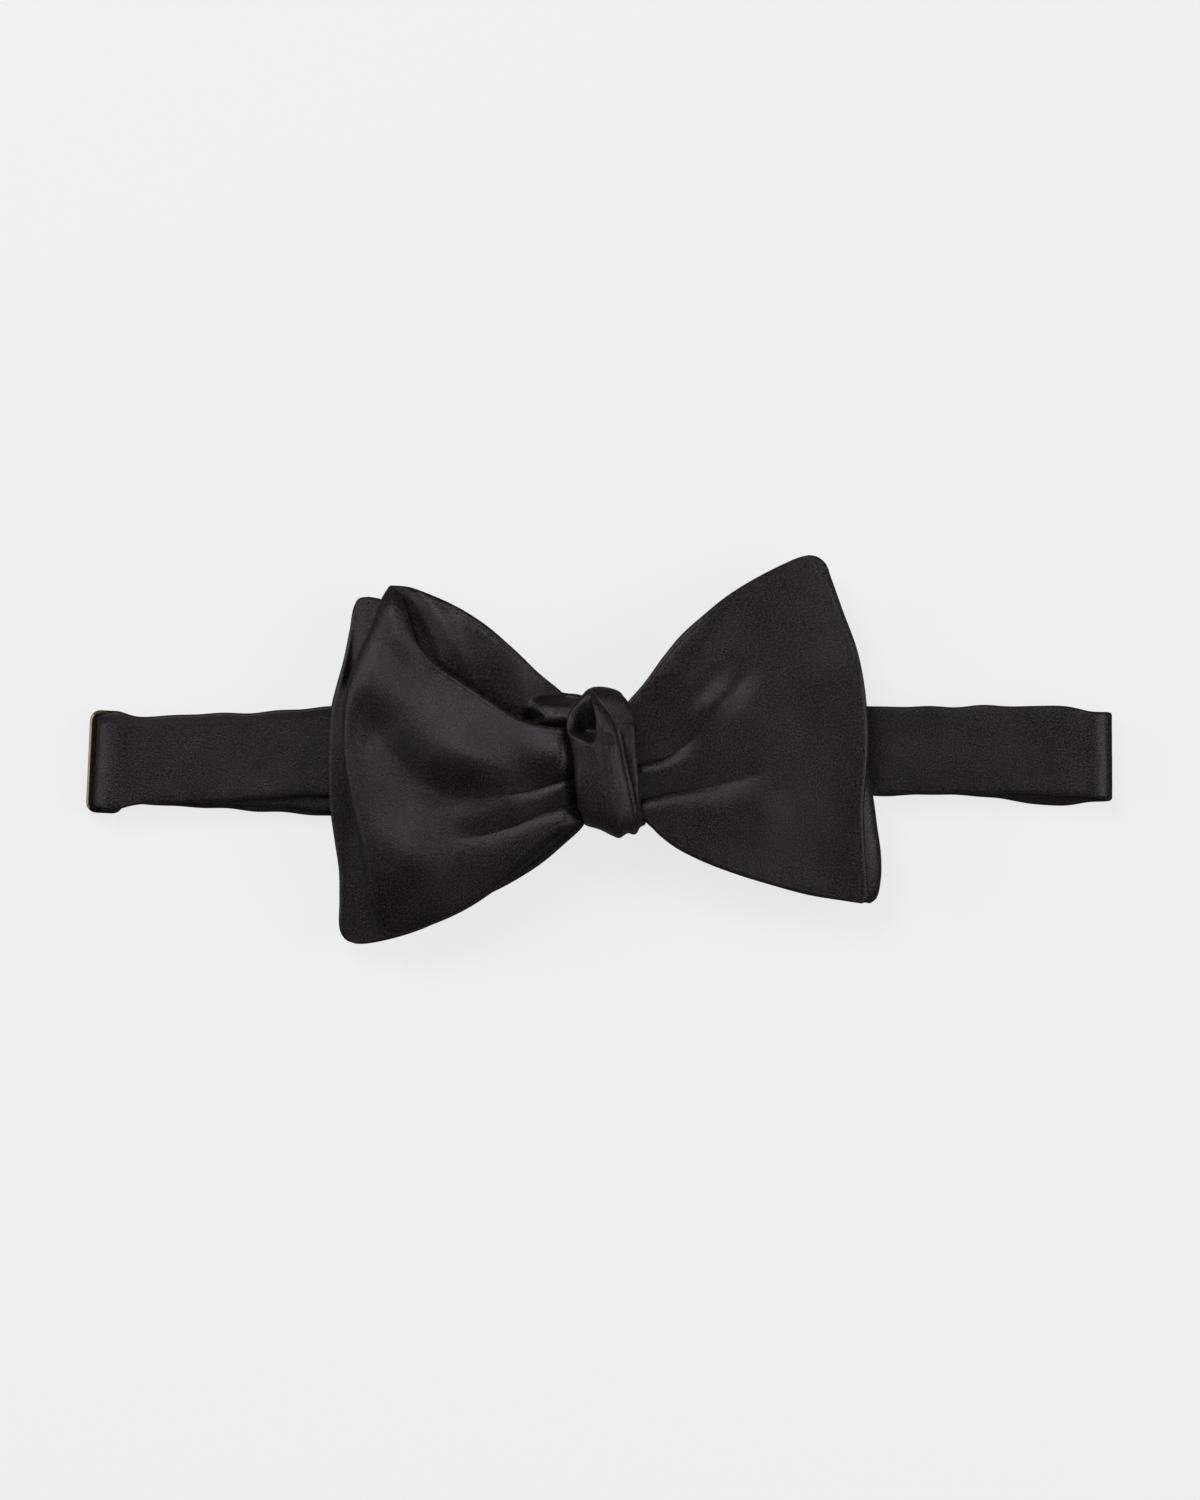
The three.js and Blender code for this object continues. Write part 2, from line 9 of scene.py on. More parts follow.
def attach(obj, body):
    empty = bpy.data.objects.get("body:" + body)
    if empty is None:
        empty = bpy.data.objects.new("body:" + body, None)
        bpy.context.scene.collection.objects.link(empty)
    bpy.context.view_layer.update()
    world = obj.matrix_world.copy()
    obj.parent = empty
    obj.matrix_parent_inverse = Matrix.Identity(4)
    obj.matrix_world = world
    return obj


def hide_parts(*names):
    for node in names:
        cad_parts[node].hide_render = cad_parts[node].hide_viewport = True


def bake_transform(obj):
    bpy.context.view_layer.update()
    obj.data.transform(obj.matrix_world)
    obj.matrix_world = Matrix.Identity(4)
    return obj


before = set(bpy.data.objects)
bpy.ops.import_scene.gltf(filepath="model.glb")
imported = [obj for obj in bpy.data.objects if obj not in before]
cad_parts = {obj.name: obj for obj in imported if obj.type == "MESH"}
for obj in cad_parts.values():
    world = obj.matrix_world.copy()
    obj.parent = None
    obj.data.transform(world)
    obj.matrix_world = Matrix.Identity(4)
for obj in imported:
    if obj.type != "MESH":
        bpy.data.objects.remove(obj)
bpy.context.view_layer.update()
MM = 0.001  # metres in a millimetre

# ------------------------------------------------------------------ driving dimensions
PLY = 0.62  # from the middle of a wing to its satin surface
SEAM_ROLL = 1.3  # width of the rounding along a seamed edge
CORE_MARGIN, CORE_THICK = 1.6, 0.3  # a wing's interlining: its gap to the seams, and its thickness

BAND_WIDTH, BAND_THICK = 19.8, 1.3
BAR_LOOP_WIDTH, BAR_LOOP_THICK = 19.2, 0.55  # where a band's end is sewn round a bar
CANVAS_WIDTH, CANVAS_THICK = 18.6, 0.4  # the interlining in a band
LIES_ON = 0.02  # the lowest that a band goes, just above the surface it lies on
FRONT_LAYER = 6.6  # middle of the neckband's front layer
BACK_LAYER = 0.76  # middle of its back layer
TAIL_LAYER = 2.2  # middle of the adjuster's tail, between them

KNOT_Y, KNOT_Z = -2.8, 14.4  # the knot's middle
KNOT_TALL, KNOT_DEPTH = 17.0, 9.9  # from its middle to its ends, and to its front and back

SLIDE_X, SLIDE_Y, SLIDE_FLOOR = -116.6, -2.5, 3.0  # the slide's left end, its middle and its underside
SLIDE_LEAN = math.radians(-2.7)
HOOK_X, HOOK_Y = 30.0, -3.0
EYE_X, EYE_Y = 44.0, -1.6
PLATE_THICK = 1.2
PLATE_HALF, WINDOW_HALF = 11.7, 10.3  # half the length of a plate, and of a window in it
CLOSURE_Z = 1.7 + PLATE_THICK / 2  # middle of the hook's plate and of the eye's


# ------------------------------------------------------------------ curves and fields
def smooth(t):
    t = np.clip(t, 0, 1)
    return t * t * (3 - 2 * t)


def arch(t):
    return np.sin(np.pi * np.clip(t, 0, 1))


def mix(a, b, t):
    return a + (b - a) * t


def curve(points, samples=24):
    """A smooth line through points, as a function from 0 to 1 that walks along it at an even pace."""
    p = np.array(points, float)
    step = np.linalg.norm(np.diff(p, axis=0), axis=1) ** 0.5
    slope = np.diff(p, axis=0) / step[:, None]
    tangent = np.empty_like(p)
    tangent[0], tangent[-1] = slope[0], slope[-1]
    near, far = step[:-1, None], step[1:, None]
    tangent[1:-1] = (slope[:-1] * far + slope[1:] * near) / (near + far)
    t = np.linspace(0, 1, samples, endpoint=False)[:, None]
    line = []
    for i in range(len(p) - 1):
        da, db = tangent[i] * step[i], tangent[i + 1] * step[i]
        line.append(
            (2 * t**3 - 3 * t**2 + 1) * p[i]
            + (t**3 - 2 * t**2 + t) * da
            + (3 * t**2 - 2 * t**3) * p[i + 1]
            + (t**3 - t**2) * db
        )
    line = np.vstack([*line, p[-1:]])
    run = np.concatenate([[0], np.cumsum(np.linalg.norm(np.diff(line, axis=0), axis=1))])

    def at(s):
        where = np.clip(s, 0, 1) * run[-1]
        return np.stack([np.interp(where, run, c) for c in line.T], axis=-1)

    at.length = run[-1]
    return at


def along(points):
    """The first number of each point as a smooth function of the second, which rises."""
    line = curve(points)(np.linspace(0, 1, 400))
    return lambda y: np.interp(y, line[:, 1], line[:, 0])


def drift(x, y, seed, wavelength, amount):
    """A gentle, uneven swell over the plan."""
    rng = np.random.default_rng(seed)
    total = np.zeros_like(x)
    for _ in range(7):
        angle, phase = rng.uniform(0, 2 * np.pi, 2)
        k = 2 * np.pi / (wavelength * rng.uniform(0.7, 1.6))
        total += np.sin(k * (x * np.cos(angle) + y * np.sin(angle)) + phase)
    return amount * total / 2.6


def mound(x, y, centre, radii, turn, height):
    """A soft rise, or a hollow if height is negative, with an oval plan. turn is in degrees."""
    a = math.radians(turn)
    dx, dy = x - centre[0], y - centre[1]
    along_it = (dx * math.cos(a) + dy * math.sin(a)) / radii[0]
    across_it = (dy * math.cos(a) - dx * math.sin(a)) / radii[1]
    return height * np.exp(-(along_it**2 + across_it**2))


def beside(x, y, line):
    """Each point's share of the way along a line, how far above it lies, and how far past the ends."""
    steps = 160
    path = curve(line)(np.linspace(0, 1, steps))
    heading = np.gradient(path, axis=0)
    heading /= np.linalg.norm(heading, axis=1, keepdims=True)
    flat = np.stack([x.ravel(), y.ravel()], axis=-1)
    nearest = np.empty(len(flat), int)
    batch = 4096
    for start in range(0, len(flat), batch):
        gap = flat[start : start + batch, None] - path[None]
        nearest[start : start + batch] = (gap**2).sum(-1).argmin(1)
    gap, way = flat - path[nearest], heading[nearest]
    above = (way[:, 0] * gap[:, 1] - way[:, 1] * gap[:, 0]) * np.sign(path[-1, 0] - path[0, 0])
    past = np.abs((gap * way).sum(1))
    return (nearest / (steps - 1)).reshape(x.shape), above.reshape(x.shape), past.reshape(x.shape)


def ridge(x, y, line, above, below, height, taper=(0.2, 0.3)):
    """A soft rise along line, or a valley if height is negative, with its own width on each side."""
    share, side, past = beside(x, y, line)
    width = np.where(side > 0, above, below)
    ends = smooth(share / taper[0]) * smooth((1 - share) / taper[1])
    return height * np.exp(-((side / width) ** 2) - (past / 3) ** 2) * ends


def pleat(x, y, line, depth, above, below, lip=0.0, fade=0.6, opening=1.5):
    """A fold that runs out from the knot: the cloth dives into it from above and steps up below it."""
    share, side, past = beside(x, y, line)
    grow = 1 + opening * share**1.5
    fall = np.where(side > 0, np.exp(-side / (above * grow)), np.exp(side / (below * grow**2)))
    swell = lip * np.exp(-(((side + 3.2 * below * grow) / (2.2 * below * grow)) ** 2))
    end = (1 - smooth((share - 1 + fade) / fade)) * np.exp(-((past / 2.5) ** 2))
    return (swell - depth * fall) * end


def relax(grid, centre, reach, passes):
    """Evens out a grid along its rows, round column centre, so that a fold has no kink."""
    columns = np.arange(grid.shape[1])
    weight = 0.5 * smooth(1 - np.abs(columns - centre) / reach)[None, :, None]
    for _ in range(passes):
        middle = (np.roll(grid, 1, 1) + np.roll(grid, -1, 1)) / 2
        grid = grid + weight * (middle - grid)
    return grid


# ------------------------------------------------------------------ meshes
def spread(count, edge=0.0):
    """Numbers from 0 to 1, closer together near both ends."""
    t = np.linspace(0, 1, count)
    return mix(t, (1 - np.cos(np.pi * t)) / 2, edge)


def mesh_object(name, points, faces, uv, material):
    """uv holds millimetres of cloth along and across, one pair for each vertex."""
    mesh = bpy.data.meshes.new(name)
    mesh.from_pydata((points.reshape(-1, 3) * MM).tolist(), [], faces)
    layer = mesh.uv_layers.new(name="cloth")
    corner = np.empty(len(mesh.loops), np.int32)
    mesh.loops.foreach_get("vertex_index", corner)
    layer.data.foreach_set("uv", uv.reshape(-1, 2)[corner].astype(np.float32).ravel())
    mesh.materials.append(material)
    mesh.shade_smooth()
    made = bpy.data.objects.new(name, mesh)
    bpy.context.scene.collection.objects.link(made)
    return made


def grid_faces(rows, columns, flip=False, around=False):
    j, i = np.meshgrid(np.arange(rows - (0 if around else 1)), np.arange(columns - 1), indexing="ij")
    below, above = j * columns, ((j + 1) % rows) * columns
    quads = np.stack([below + i, below + i + 1, above + i + 1, above + i], -1).reshape(-1, 4)
    return (quads[:, ::-1] if flip else quads).tolist()


def lengths(points, axis):
    """How far along the cloth each grid point is, from the first row or column."""
    step = np.linalg.norm(np.diff(points, axis=axis), axis=-1)
    start = np.zeros_like(np.take(step, [0], axis=axis))
    return np.concatenate([start, np.cumsum(step, axis=axis)], axis=axis)


def normals(points):
    du = np.gradient(points, axis=1)
    dv = np.gradient(points, axis=0)
    n = np.cross(du, dv)
    return n / np.linalg.norm(n, axis=-1, keepdims=True)


def panel(name, middle, side, material, closed_end):
    """One ply of a wing, on one side of its middle surface. It meets the other side's ply at the seams."""
    n = normals(middle)
    across, out = lengths(middle, 0), lengths(middle, 1)
    edge = np.minimum(across, across[-1:] - across)
    if closed_end:
        edge = np.minimum(edge, out[:, -1:] - out)
    roll = np.clip(edge / SEAM_ROLL, 0, 1)
    rise = PLY * np.sqrt(np.clip(1 - (1 - roll) ** 2, 0, 1))
    rise -= 0.05 * np.exp(-(((edge - 1.5) / 0.3) ** 2))  # the line pressed beside the seam
    pucker = 0.05 * np.sin(out * 2.1 + np.sin(out * 0.63) * 2) * np.exp(-((edge / 2.5) ** 2))
    points = middle + side * n * (rise + pucker * (roll > 0))[..., None]
    uv = np.stack([out, across], -1)
    rows, columns = middle.shape[:2]
    return mesh_object(name, points, grid_faces(rows, columns, flip=side < 0), uv, material)


def core_sheet(name, middle, material):
    """The interlining of a wing: a closed flat sheet that stops short of the seams."""
    rows, columns = middle.shape[:2]
    n = normals(middle)
    across = lengths(middle, 0)
    width = across[-1:]
    t = np.linspace(0, 1, rows)[:, None]
    wanted = CORE_MARGIN + (width - 2 * CORE_MARGIN) * t
    inner, normal = np.empty_like(middle), np.empty_like(middle)
    for i in range(columns):
        for k in range(3):
            inner[:, i, k] = np.interp(wanted[:, i], across[:, i], middle[:, i, k])
            normal[:, i, k] = np.interp(wanted[:, i], across[:, i], n[:, i, k])
    both = np.concatenate([inner + normal * CORE_THICK / 2, (inner - normal * CORE_THICK / 2)[::-1]], axis=0)
    faces = grid_faces(2 * rows, columns, around=True)
    knot_end = list(range(0, 2 * rows * columns, columns))[::-1]
    outer_end = list(range(columns - 1, 2 * rows * columns, columns))
    for ring in (knot_end, outer_end):
        for k in range(rows - 1):
            faces.append([ring[k], ring[k + 1], ring[-2 - k], ring[-1 - k]])
    out = lengths(middle, 1)
    uv = np.stack([np.concatenate([out, out[::-1]]), np.concatenate([wanted, wanted[::-1]])], -1)
    return mesh_object(name, both, faces, uv, material)


def flat_section(width, thick):
    """The outline of a flattened tube: width along Y and thick along the band's normal, with round edges."""
    half, r = width / 2, thick / 2
    angle = np.linspace(-np.pi / 2, np.pi / 2, 9)
    right = np.stack([half - r + r * np.cos(angle), r * np.sin(angle)], -1)
    inner = np.linspace(half - r, -(half - r), 14)[1:-1]
    top = np.stack([inner, np.full(len(inner), r)], -1)
    left = -right
    bottom = -top
    return np.concatenate([right, top, left, bottom])


def band(name, path, material, width=BAND_WIDTH, thick=BAND_THICK, step=0.9, seed=1, waves=0.06, edges=0.2,
         bulge=None, lean=None):
    """A band swept along path, with its width along Y.

    waves is how much its faces swell, and edges how far its edges wander. bulge is where along the path it
    spreads, over what length and how far. lean is an angle, the x where it starts, the x where it is full
    and the y that stays put.
    """
    line = curve(path)
    count = max(12, int(line.length / step))
    centre = line(np.linspace(0, 1, count))
    run = np.linspace(0, line.length, count)
    heading = np.gradient(centre[:, [0, 2]], axis=0)
    heading /= np.linalg.norm(heading, axis=1, keepdims=True)
    up = np.stack([-heading[:, 1], np.zeros(count), heading[:, 0]], -1)
    section = flat_section(width, thick)
    y, z = section[:, 0], section[:, 1]
    x_run, y_run = np.meshgrid(run, y)
    swell = drift(x_run, y_run, seed, 17, waves) + drift(x_run, y_run, seed + 9, 6.5, waves * 0.3)
    swell *= smooth(x_run / 6) * smooth((line.length - x_run) / 6)
    wander = drift(x_run, y_run * 0, seed + 4, 13, edges) * (y_run / (width / 2)) ** 3
    points = centre[None] + up[None] * (z[:, None] + swell)[..., None]
    points[..., 1] += y[:, None] + wander
    if bulge:
        where, length, extra = bulge
        points[..., 1] += y[:, None] / (width / 2) * extra * np.exp(-(((x_run - where) / length) ** 2))
    if lean:
        angle, none, full, pivot = lean
        share = smooth((points[..., 0] - none) / (full - none))
        points[..., 0] -= np.tan(angle) * (points[..., 1] - pivot) * share
    points[..., 2] = np.maximum(points[..., 2], LIES_ON)
    around = np.concatenate([[0], np.cumsum(np.linalg.norm(np.diff(section, axis=0), axis=1))])
    uv = np.stack([x_run, np.repeat(around[:, None], count, 1)], -1)
    rings = len(section)
    faces = grid_faces(rings, count, around=True, flip=True)
    faces.append([r * count for r in range(rings)])
    faces.append([r * count + count - 1 for r in range(rings)][::-1])
    return mesh_object(name, points, faces, uv, material)


def rod(name, path, radius, material):
    """A round thread along path."""
    sides, p = 8, np.array(path, float)
    heading = np.gradient(p, axis=0)
    heading /= np.linalg.norm(heading, axis=1, keepdims=True)
    first = np.cross(heading, [0.0, 0.0, 1.0])
    first /= np.linalg.norm(first, axis=1, keepdims=True) + 1e-9
    second = np.cross(heading, first)
    angle = np.linspace(0, 2 * np.pi, sides, endpoint=False)
    ring = np.cos(angle)[:, None, None] * first + np.sin(angle)[:, None, None] * second
    points = p[None] + radius * ring
    faces = grid_faces(sides, len(p), around=True)
    faces.append([r * len(p) for r in range(sides)][::-1])
    faces.append([r * len(p) + len(p) - 1 for r in range(sides)])
    return mesh_object(name, points, faces, points[..., :2], material)


def rounded_loop(x0, x1, half, r, steps):
    """The points of a rounded rectangle, anticlockwise, from y = -half to half."""
    out = []
    y = half - r
    corners = ((x1 - r, -y, -90), (x1 - r, y, 0), (x0 + r, y, 90), (x0 + r, -y, 180))
    for cx, cy, start in corners:
        for k in range(steps + 1):
            a = math.radians(start + 90 * k / steps)
            out.append((cx + r * math.cos(a), cy + r * math.sin(a)))
    return out


def outline(width, r):
    """A plate's outline, from x = 0."""
    return rounded_loop(0, width, PLATE_HALF, r, 7)


def window(x0, x1, r):
    """A window right through a plate, along most of its length."""
    return rounded_loop(x0, x1, WINDOW_HALF, r, 3)[::-1]


def plate(name, loops, thick, round_over):
    """A flat bronze plate with rounded edges. loops are its outline and its windows."""
    shape = bpy.data.curves.new(name, "CURVE")
    shape.dimensions = "2D"
    shape.fill_mode = "BOTH"
    shape.extrude = (thick / 2 - round_over) * MM
    shape.bevel_depth = round_over * MM
    shape.bevel_resolution = 3
    shape.offset = -round_over * MM
    for loop in loops:
        spline = shape.splines.new("POLY")
        spline.points.add(len(loop) - 1)
        for point, (x, y) in zip(spline.points, loop):
            point.co = (x * MM, y * MM, 0, 1)
        spline.use_cyclic_u = True
    temporary = bpy.data.objects.new(name + "_outline", shape)
    bpy.context.scene.collection.objects.link(temporary)
    bpy.context.view_layer.update()
    evaluated = temporary.evaluated_get(bpy.context.evaluated_depsgraph_get())
    mesh = bpy.data.meshes.new_from_object(evaluated)
    bpy.data.objects.remove(temporary)
    bpy.data.curves.remove(shape)
    mesh.materials.clear()
    mesh.materials.append(BRONZE)
    mesh.name = name
    made = bpy.data.objects.new(name, mesh)
    bpy.context.scene.collection.objects.link(made)
    return made


def place(piece, x, y, z, turn_z=0.0, upright=False):
    """Moves a piece's mesh into the part's frame. upright first stands it in the XZ plane."""
    matrix = Matrix.Translation((x * MM, y * MM, z * MM)) @ Matrix.Rotation(turn_z, 4, "Z")
    if upright:
        matrix = matrix @ Matrix.Rotation(math.pi / 2, 4, "X")
    piece.data.transform(matrix)
    return piece


def smooth_by_angle(piece):
    """Shades a piece as smooth, with a crease wherever its faces turn by more than 35 degrees."""
    mesh = piece.data
    mesh.shade_smooth()
    limit = math.cos(math.radians(35))
    bm = bmesh.new()
    bm.from_mesh(mesh)
    bmesh.ops.remove_doubles(bm, verts=bm.verts, dist=1e-6)
    for edge in bm.edges:
        if len(edge.link_faces) == 2:
            a, b = edge.link_faces
            edge.smooth = a.normal.dot(b.normal) > limit
    bm.to_mesh(mesh)
    bm.free()
    return piece


def joined(first, *others):
    """One object of several, in place."""
    bm = bmesh.new()
    for piece in (first, *others):
        bm.from_mesh(piece.data)
    bm.to_mesh(first.data)
    bm.free()
    for piece in others:
        bpy.data.objects.remove(piece)
    return first


# ------------------------------------------------------------------ materials
def material_with(name):
    made = bpy.data.materials.new(name)
    made.use_nodes = True
    nodes, links = made.node_tree.nodes, made.node_tree.links
    return made, nodes, links, nodes["Principled BSDF"]


def noise(nodes, links, space, scale, detail, hardness=0.5):
    texture = nodes.new("ShaderNodeTexNoise")
    texture.inputs["Scale"].default_value = scale
    texture.inputs["Detail"].default_value = detail
    texture.inputs["Roughness"].default_value = hardness
    links.new(space, texture.inputs["Vector"])
    return texture.outputs["Fac"]


def noise_by_place(nodes, links, scale, detail):
    """Noise laid out by place in the frame, in metres."""
    return noise(nodes, links, nodes.new("ShaderNodeTexCoord").outputs["Object"], scale, detail)


def remapped(nodes, links, value, start, end):
    """value, brought from the range start to the range end."""
    node = nodes.new("ShaderNodeMapRange")
    node.inputs["From Min"].default_value, node.inputs["From Max"].default_value = start
    node.inputs["To Min"].default_value, node.inputs["To Max"].default_value = end
    links.new(value, node.inputs["Value"])
    return node.outputs["Result"]


def two_tone(nodes, links, shader, factor, dark, light):
    """Colours the surface from dark to light by factor."""
    colour = nodes.new("ShaderNodeMix")
    colour.data_type = "RGBA"
    colour.inputs["A"].default_value = (*dark, 1)
    colour.inputs["B"].default_value = (*light, 1)
    links.new(factor, colour.inputs["Factor"])
    links.new(colour.outputs["Result"], shader.inputs["Base Color"])


def bumped(nodes, links, shader, height, strength, distance):
    bump = nodes.new("ShaderNodeBump")
    bump.inputs["Strength"].default_value = strength
    bump.inputs["Distance"].default_value = distance
    links.new(height, bump.inputs["Height"])
    links.new(bump.outputs["Normal"], shader.inputs["Normal"])


def satin_material(name, by_place=False):
    """Black satin, laid out by the cloth's millimetres or, for a piece with no such layout, by its place."""
    made, nodes, links, shader = material_with(name)
    if by_place:
        scaled = nodes.new("ShaderNodeVectorMath")
        scaled.operation = "SCALE"
        scaled.inputs["Scale"].default_value = 1 / MM
        links.new(nodes.new("ShaderNodeTexCoord").outputs["Object"], scaled.inputs["Vector"])
        cloth = scaled.outputs["Vector"]
    else:
        laid_out = nodes.new("ShaderNodeUVMap")
        laid_out.uv_map = "cloth"
        cloth = laid_out.outputs["UV"]

    def math_of(operation, a, b):
        node = nodes.new("ShaderNodeMath")
        node.operation = operation
        for socket, value in zip(node.inputs, (a, b)):
            if isinstance(value, float):
                socket.default_value = value
            else:
                links.new(value, socket)
        return node.outputs["Value"]

    # specks of about half a millimetre, the lie of the threads, and a slow change from place to place
    grain = noise(nodes, links, cloth, 2.5, 2.5, 0.7)
    stretched = nodes.new("ShaderNodeMapping")
    stretched.inputs["Scale"].default_value = (1.0, 6.0, 1.0)
    links.new(cloth, stretched.inputs["Vector"])
    threads = noise(nodes, links, stretched.outputs["Vector"], 1.3, 2.0)
    cloudy = noise(nodes, links, cloth, 0.14, 2.0)

    specks = math_of("ADD", math_of("MULTIPLY", grain, 0.88), math_of("MULTIPLY", cloudy, 0.12))
    contrast = remapped(nodes, links, specks, (0.505, 0.575), (0, 1))
    two_tone(nodes, links, shader, contrast, dark=(0.0002, 0.0001, 0.0001), light=(0.036, 0.024, 0.0165))
    rough = remapped(nodes, links, grain, (0.3, 0.7), (0.225, 0.495))
    links.new(rough, shader.inputs["Roughness"])
    bumped(nodes, links, shader, math_of("ADD", grain, math_of("MULTIPLY", threads, 0.4)), 1.0, 0.00012)

    if not by_place:
        tangent = nodes.new("ShaderNodeTangent")
        tangent.direction_type = "UV_MAP"
        tangent.uv_map = "cloth"
        links.new(tangent.outputs["Tangent"], shader.inputs["Tangent"])
        shader.inputs["Anisotropic"].default_value = 0.25
    shader.inputs["Specular IOR Level"].default_value = 0.5
    shader.inputs["Specular Tint"].default_value = (0.96, 0.85, 0.98, 1)
    shader.inputs["Sheen Weight"].default_value = 0.04
    shader.inputs["Sheen Roughness"].default_value = 0.4
    shader.inputs["Sheen Tint"].default_value = (0.8, 0.74, 0.85, 1)
    return made


def plain_cloth_material(name, dark, light, scale):
    """Matt threads, such as canvas or sewing thread."""
    made, nodes, links, shader = material_with(name)
    threads = noise_by_place(nodes, links, scale, 4.0)
    two_tone(nodes, links, shader, threads, dark, light)
    bumped(nodes, links, shader, threads, 0.4, 0.0001)
    shader.inputs["Roughness"].default_value = 0.9
    return made


def metal_material(name, dark, light, roughness, metallic=1.0):
    """Worn metal, whose colour and polish both change from place to place."""
    made, nodes, links, shader = material_with(name)
    wear = noise_by_place(nodes, links, 900.0, 5.0)
    two_tone(nodes, links, shader, wear, dark, light)
    rough = remapped(nodes, links, wear, (0, 1), (roughness - 0.08, roughness + 0.1))
    links.new(rough, shader.inputs["Roughness"])
    shader.inputs["Metallic"].default_value = metallic
    return made


SATIN = satin_material("black_satin")
CROSSING_SATIN = satin_material("crossing_satin", by_place=True)
INTERLINING = plain_cloth_material("interlining_canvas", (0.16, 0.14, 0.12), (0.3, 0.27, 0.23), 2500)
THREAD = plain_cloth_material("black_thread", (0.012, 0.011, 0.012), (0.03, 0.028, 0.03), 6000)
BRONZE = metal_material("dark_bronze", (0.028, 0.022, 0.016), (0.07, 0.055, 0.038), 0.3)
# a lighter champagne metal, used as a painted highlight along the slide's left edge in place of that edge's
# reflection
CHAMPAGNE_HIGHLIGHT_PAINT = metal_material("champagne_painted_highlight", (0.42, 0.31, 0.17), (0.6, 0.46, 0.28), 0.45, metallic=0.8)


# ------------------------------------------------------------------ wings
def plan(top, bottom, outer):
    """A wing's plan: the top and bottom edges run out from the knot, and outer joins their ends, upwards."""
    high, low, out = curve(top), curve(bottom), curve(outer)

    def at(u, v):
        ends = np.ones_like(u)
        chord = mix(low(ends), high(ends), v[..., None])
        return mix(low(u), high(u), v[..., None]) + (u**2.5)[..., None] * (out(v) - chord)

    return at


def tip_grid(outline, height, columns, rows):
    u, v = np.meshgrid(spread(columns, 0.6), spread(rows, 0.75))
    xy = plan(**outline)(u, v)
    return np.concatenate([xy, height(xy[..., 0], xy[..., 1], u, v)[..., None]], -1)


def fold_grid(front, rear, crest, side, radius, level, front_height, rear_height, leaf, turn, rows, start):
    """The front leaf, the turn at the outer fold, and the rear leaf back to the knot, as one grid.

    crest is the line that the fold reaches, and side is the side of the knot that it is on. leaf and turn are
    the columns in each leaf and in the turn. start is the angle round the turn where the front leaf ends: a
    quarter turn for a leaf that lies level there, less for one that slopes down into it.
    """
    line = curve(crest)
    v_line = spread(rows, 0.75)

    def inner(share):
        return lambda v: np.stack([line(v)[..., 0] - side * radius(v) * share, line(v)[..., 1]], -1)

    def leaf_points(edges, outer, height, u):
        u, v = np.meshgrid(u, v_line)
        xy = plan(edges["top"], edges["bottom"], outer)(u, v)
        return np.concatenate([xy, height(xy[..., 0], xy[..., 1], u, v)[..., None]], -1)

    evenly, out = np.linspace(0, 1, 40), spread(leaf, 0.35)
    near = leaf_points(front, inner(1 - math.cos(start))(evenly), front_height, out)
    far = leaf_points(rear, inner(1)(evenly), rear_height, out[::-1])
    angle = mix(start, -math.pi / 2, np.linspace(0, 1, turn + 2)[1:-1])
    r, edge = radius(v_line)[:, None], line(v_line)
    x = edge[:, None, 0] - side * r * (1 - np.cos(angle))
    z = level(v_line)[:, None] + r * np.sin(angle)
    round_it = np.stack([x, np.repeat(edge[:, None, 1], turn, 1), z], -1)
    middle = leaf + turn / 2
    sheet = relax(np.concatenate([near, round_it, far], axis=1), middle, reach=20, passes=60)
    # evening it out draws the fold in, so its outermost line goes back to the crest
    short = side * edge[:, 0] - PLY - (side * sheet[..., 0]).max(axis=1)
    columns_moved = 34
    share = smooth(1 - np.abs(np.arange(sheet.shape[1]) - middle) / columns_moved)
    sheet[..., 0] += side * short[:, None] * share
    return sheet


LEAF_RUN = 50  # about how far a leaf reaches from the knot to its fold

# Front bow, left: the folded wing. Its rear leaf stands above the front leaf and leaves the pocket open.
FRONT_START = math.radians(78)


def front_radius(v):
    return 1.1 + 2.7 * arch(v) ** 0.8


def front_level(v):
    return 10.6 + 4.6 * arch(v) ** 0.8


def front_leaf_height(x, y, u, v):
    at_fold = front_level(v) + front_radius(v) * math.sin(FRONT_START)
    z = mix(20.4, at_fold, smooth(u)) + 1.2 * arch(u) ** 2 * (0.35 + 0.65 * v)
    z += LEAF_RUN * math.tan(math.pi / 2 - FRONT_START) * u**4 * (1 - u)  # slopes down into the turn
    z -= 3.6 * (1 - smooth(u / 0.12))  # pinched inside the knot
    # the two pleats gathered in the knot
    z += pleat(x, y, [(-2.6, -5.6), (-5.8, -6.5), (-10, -7.6), (-15, -9.2), (-21, -10.2), (-28, -9.6)],
               1.6, 2.4, 0.6, 0.15, fade=0.75)
    z += pleat(x, y, [(-2.6, -12.2), (-4.9, -12.4), (-11.9, -14.2), (-19.7, -17.4), (-27.2, -19.5),
                      (-36.2, -19.4), (-42, -16.4)], 1.6, 2.2, 0.8, 0.08, fade=0.85)
    # the long hollow from the fold to the upper pleat
    z += ridge(x, y, [(-57, 17), (-52.5, 6.5), (-47, -1.5), (-40, -8), (-30, -11.5), (-17, -10)],
               6, 13, -3.8, (0.3, 0.3))
    # the swells between them
    z += mound(x, y, (-7.5, -2.0), (9.5, 5.5), -20, 2.7) * smooth(u / 0.12)
    z += ridge(x, y, [(-48, 37), (-45.6, 30), (-42.6, 24), (-37, 19)], 2.6, 4.6, 2.5, (0.25, 0.5))
    z += mound(x, y, (-41.5, -24.5), (6.5, 4.6), -35, 0.9)
    z += ridge(x, y, [(-46.5, -12), (-45.5, -22), (-43, -31), (-41, -39)], 7, 7, 0.45, (0.3, 0.3))
    z += ridge(x, y, [(-20, -13.2), (-29, -15.3), (-38, -13.5)], 2.6, 2.6, 0.4, (0.3, 0.5))
    z += mound(x, y, (-27, -2.5), (7, 3.4), -20, 0.7)
    return z + drift(x, y, 3, 22, 0.16) * arch(u)


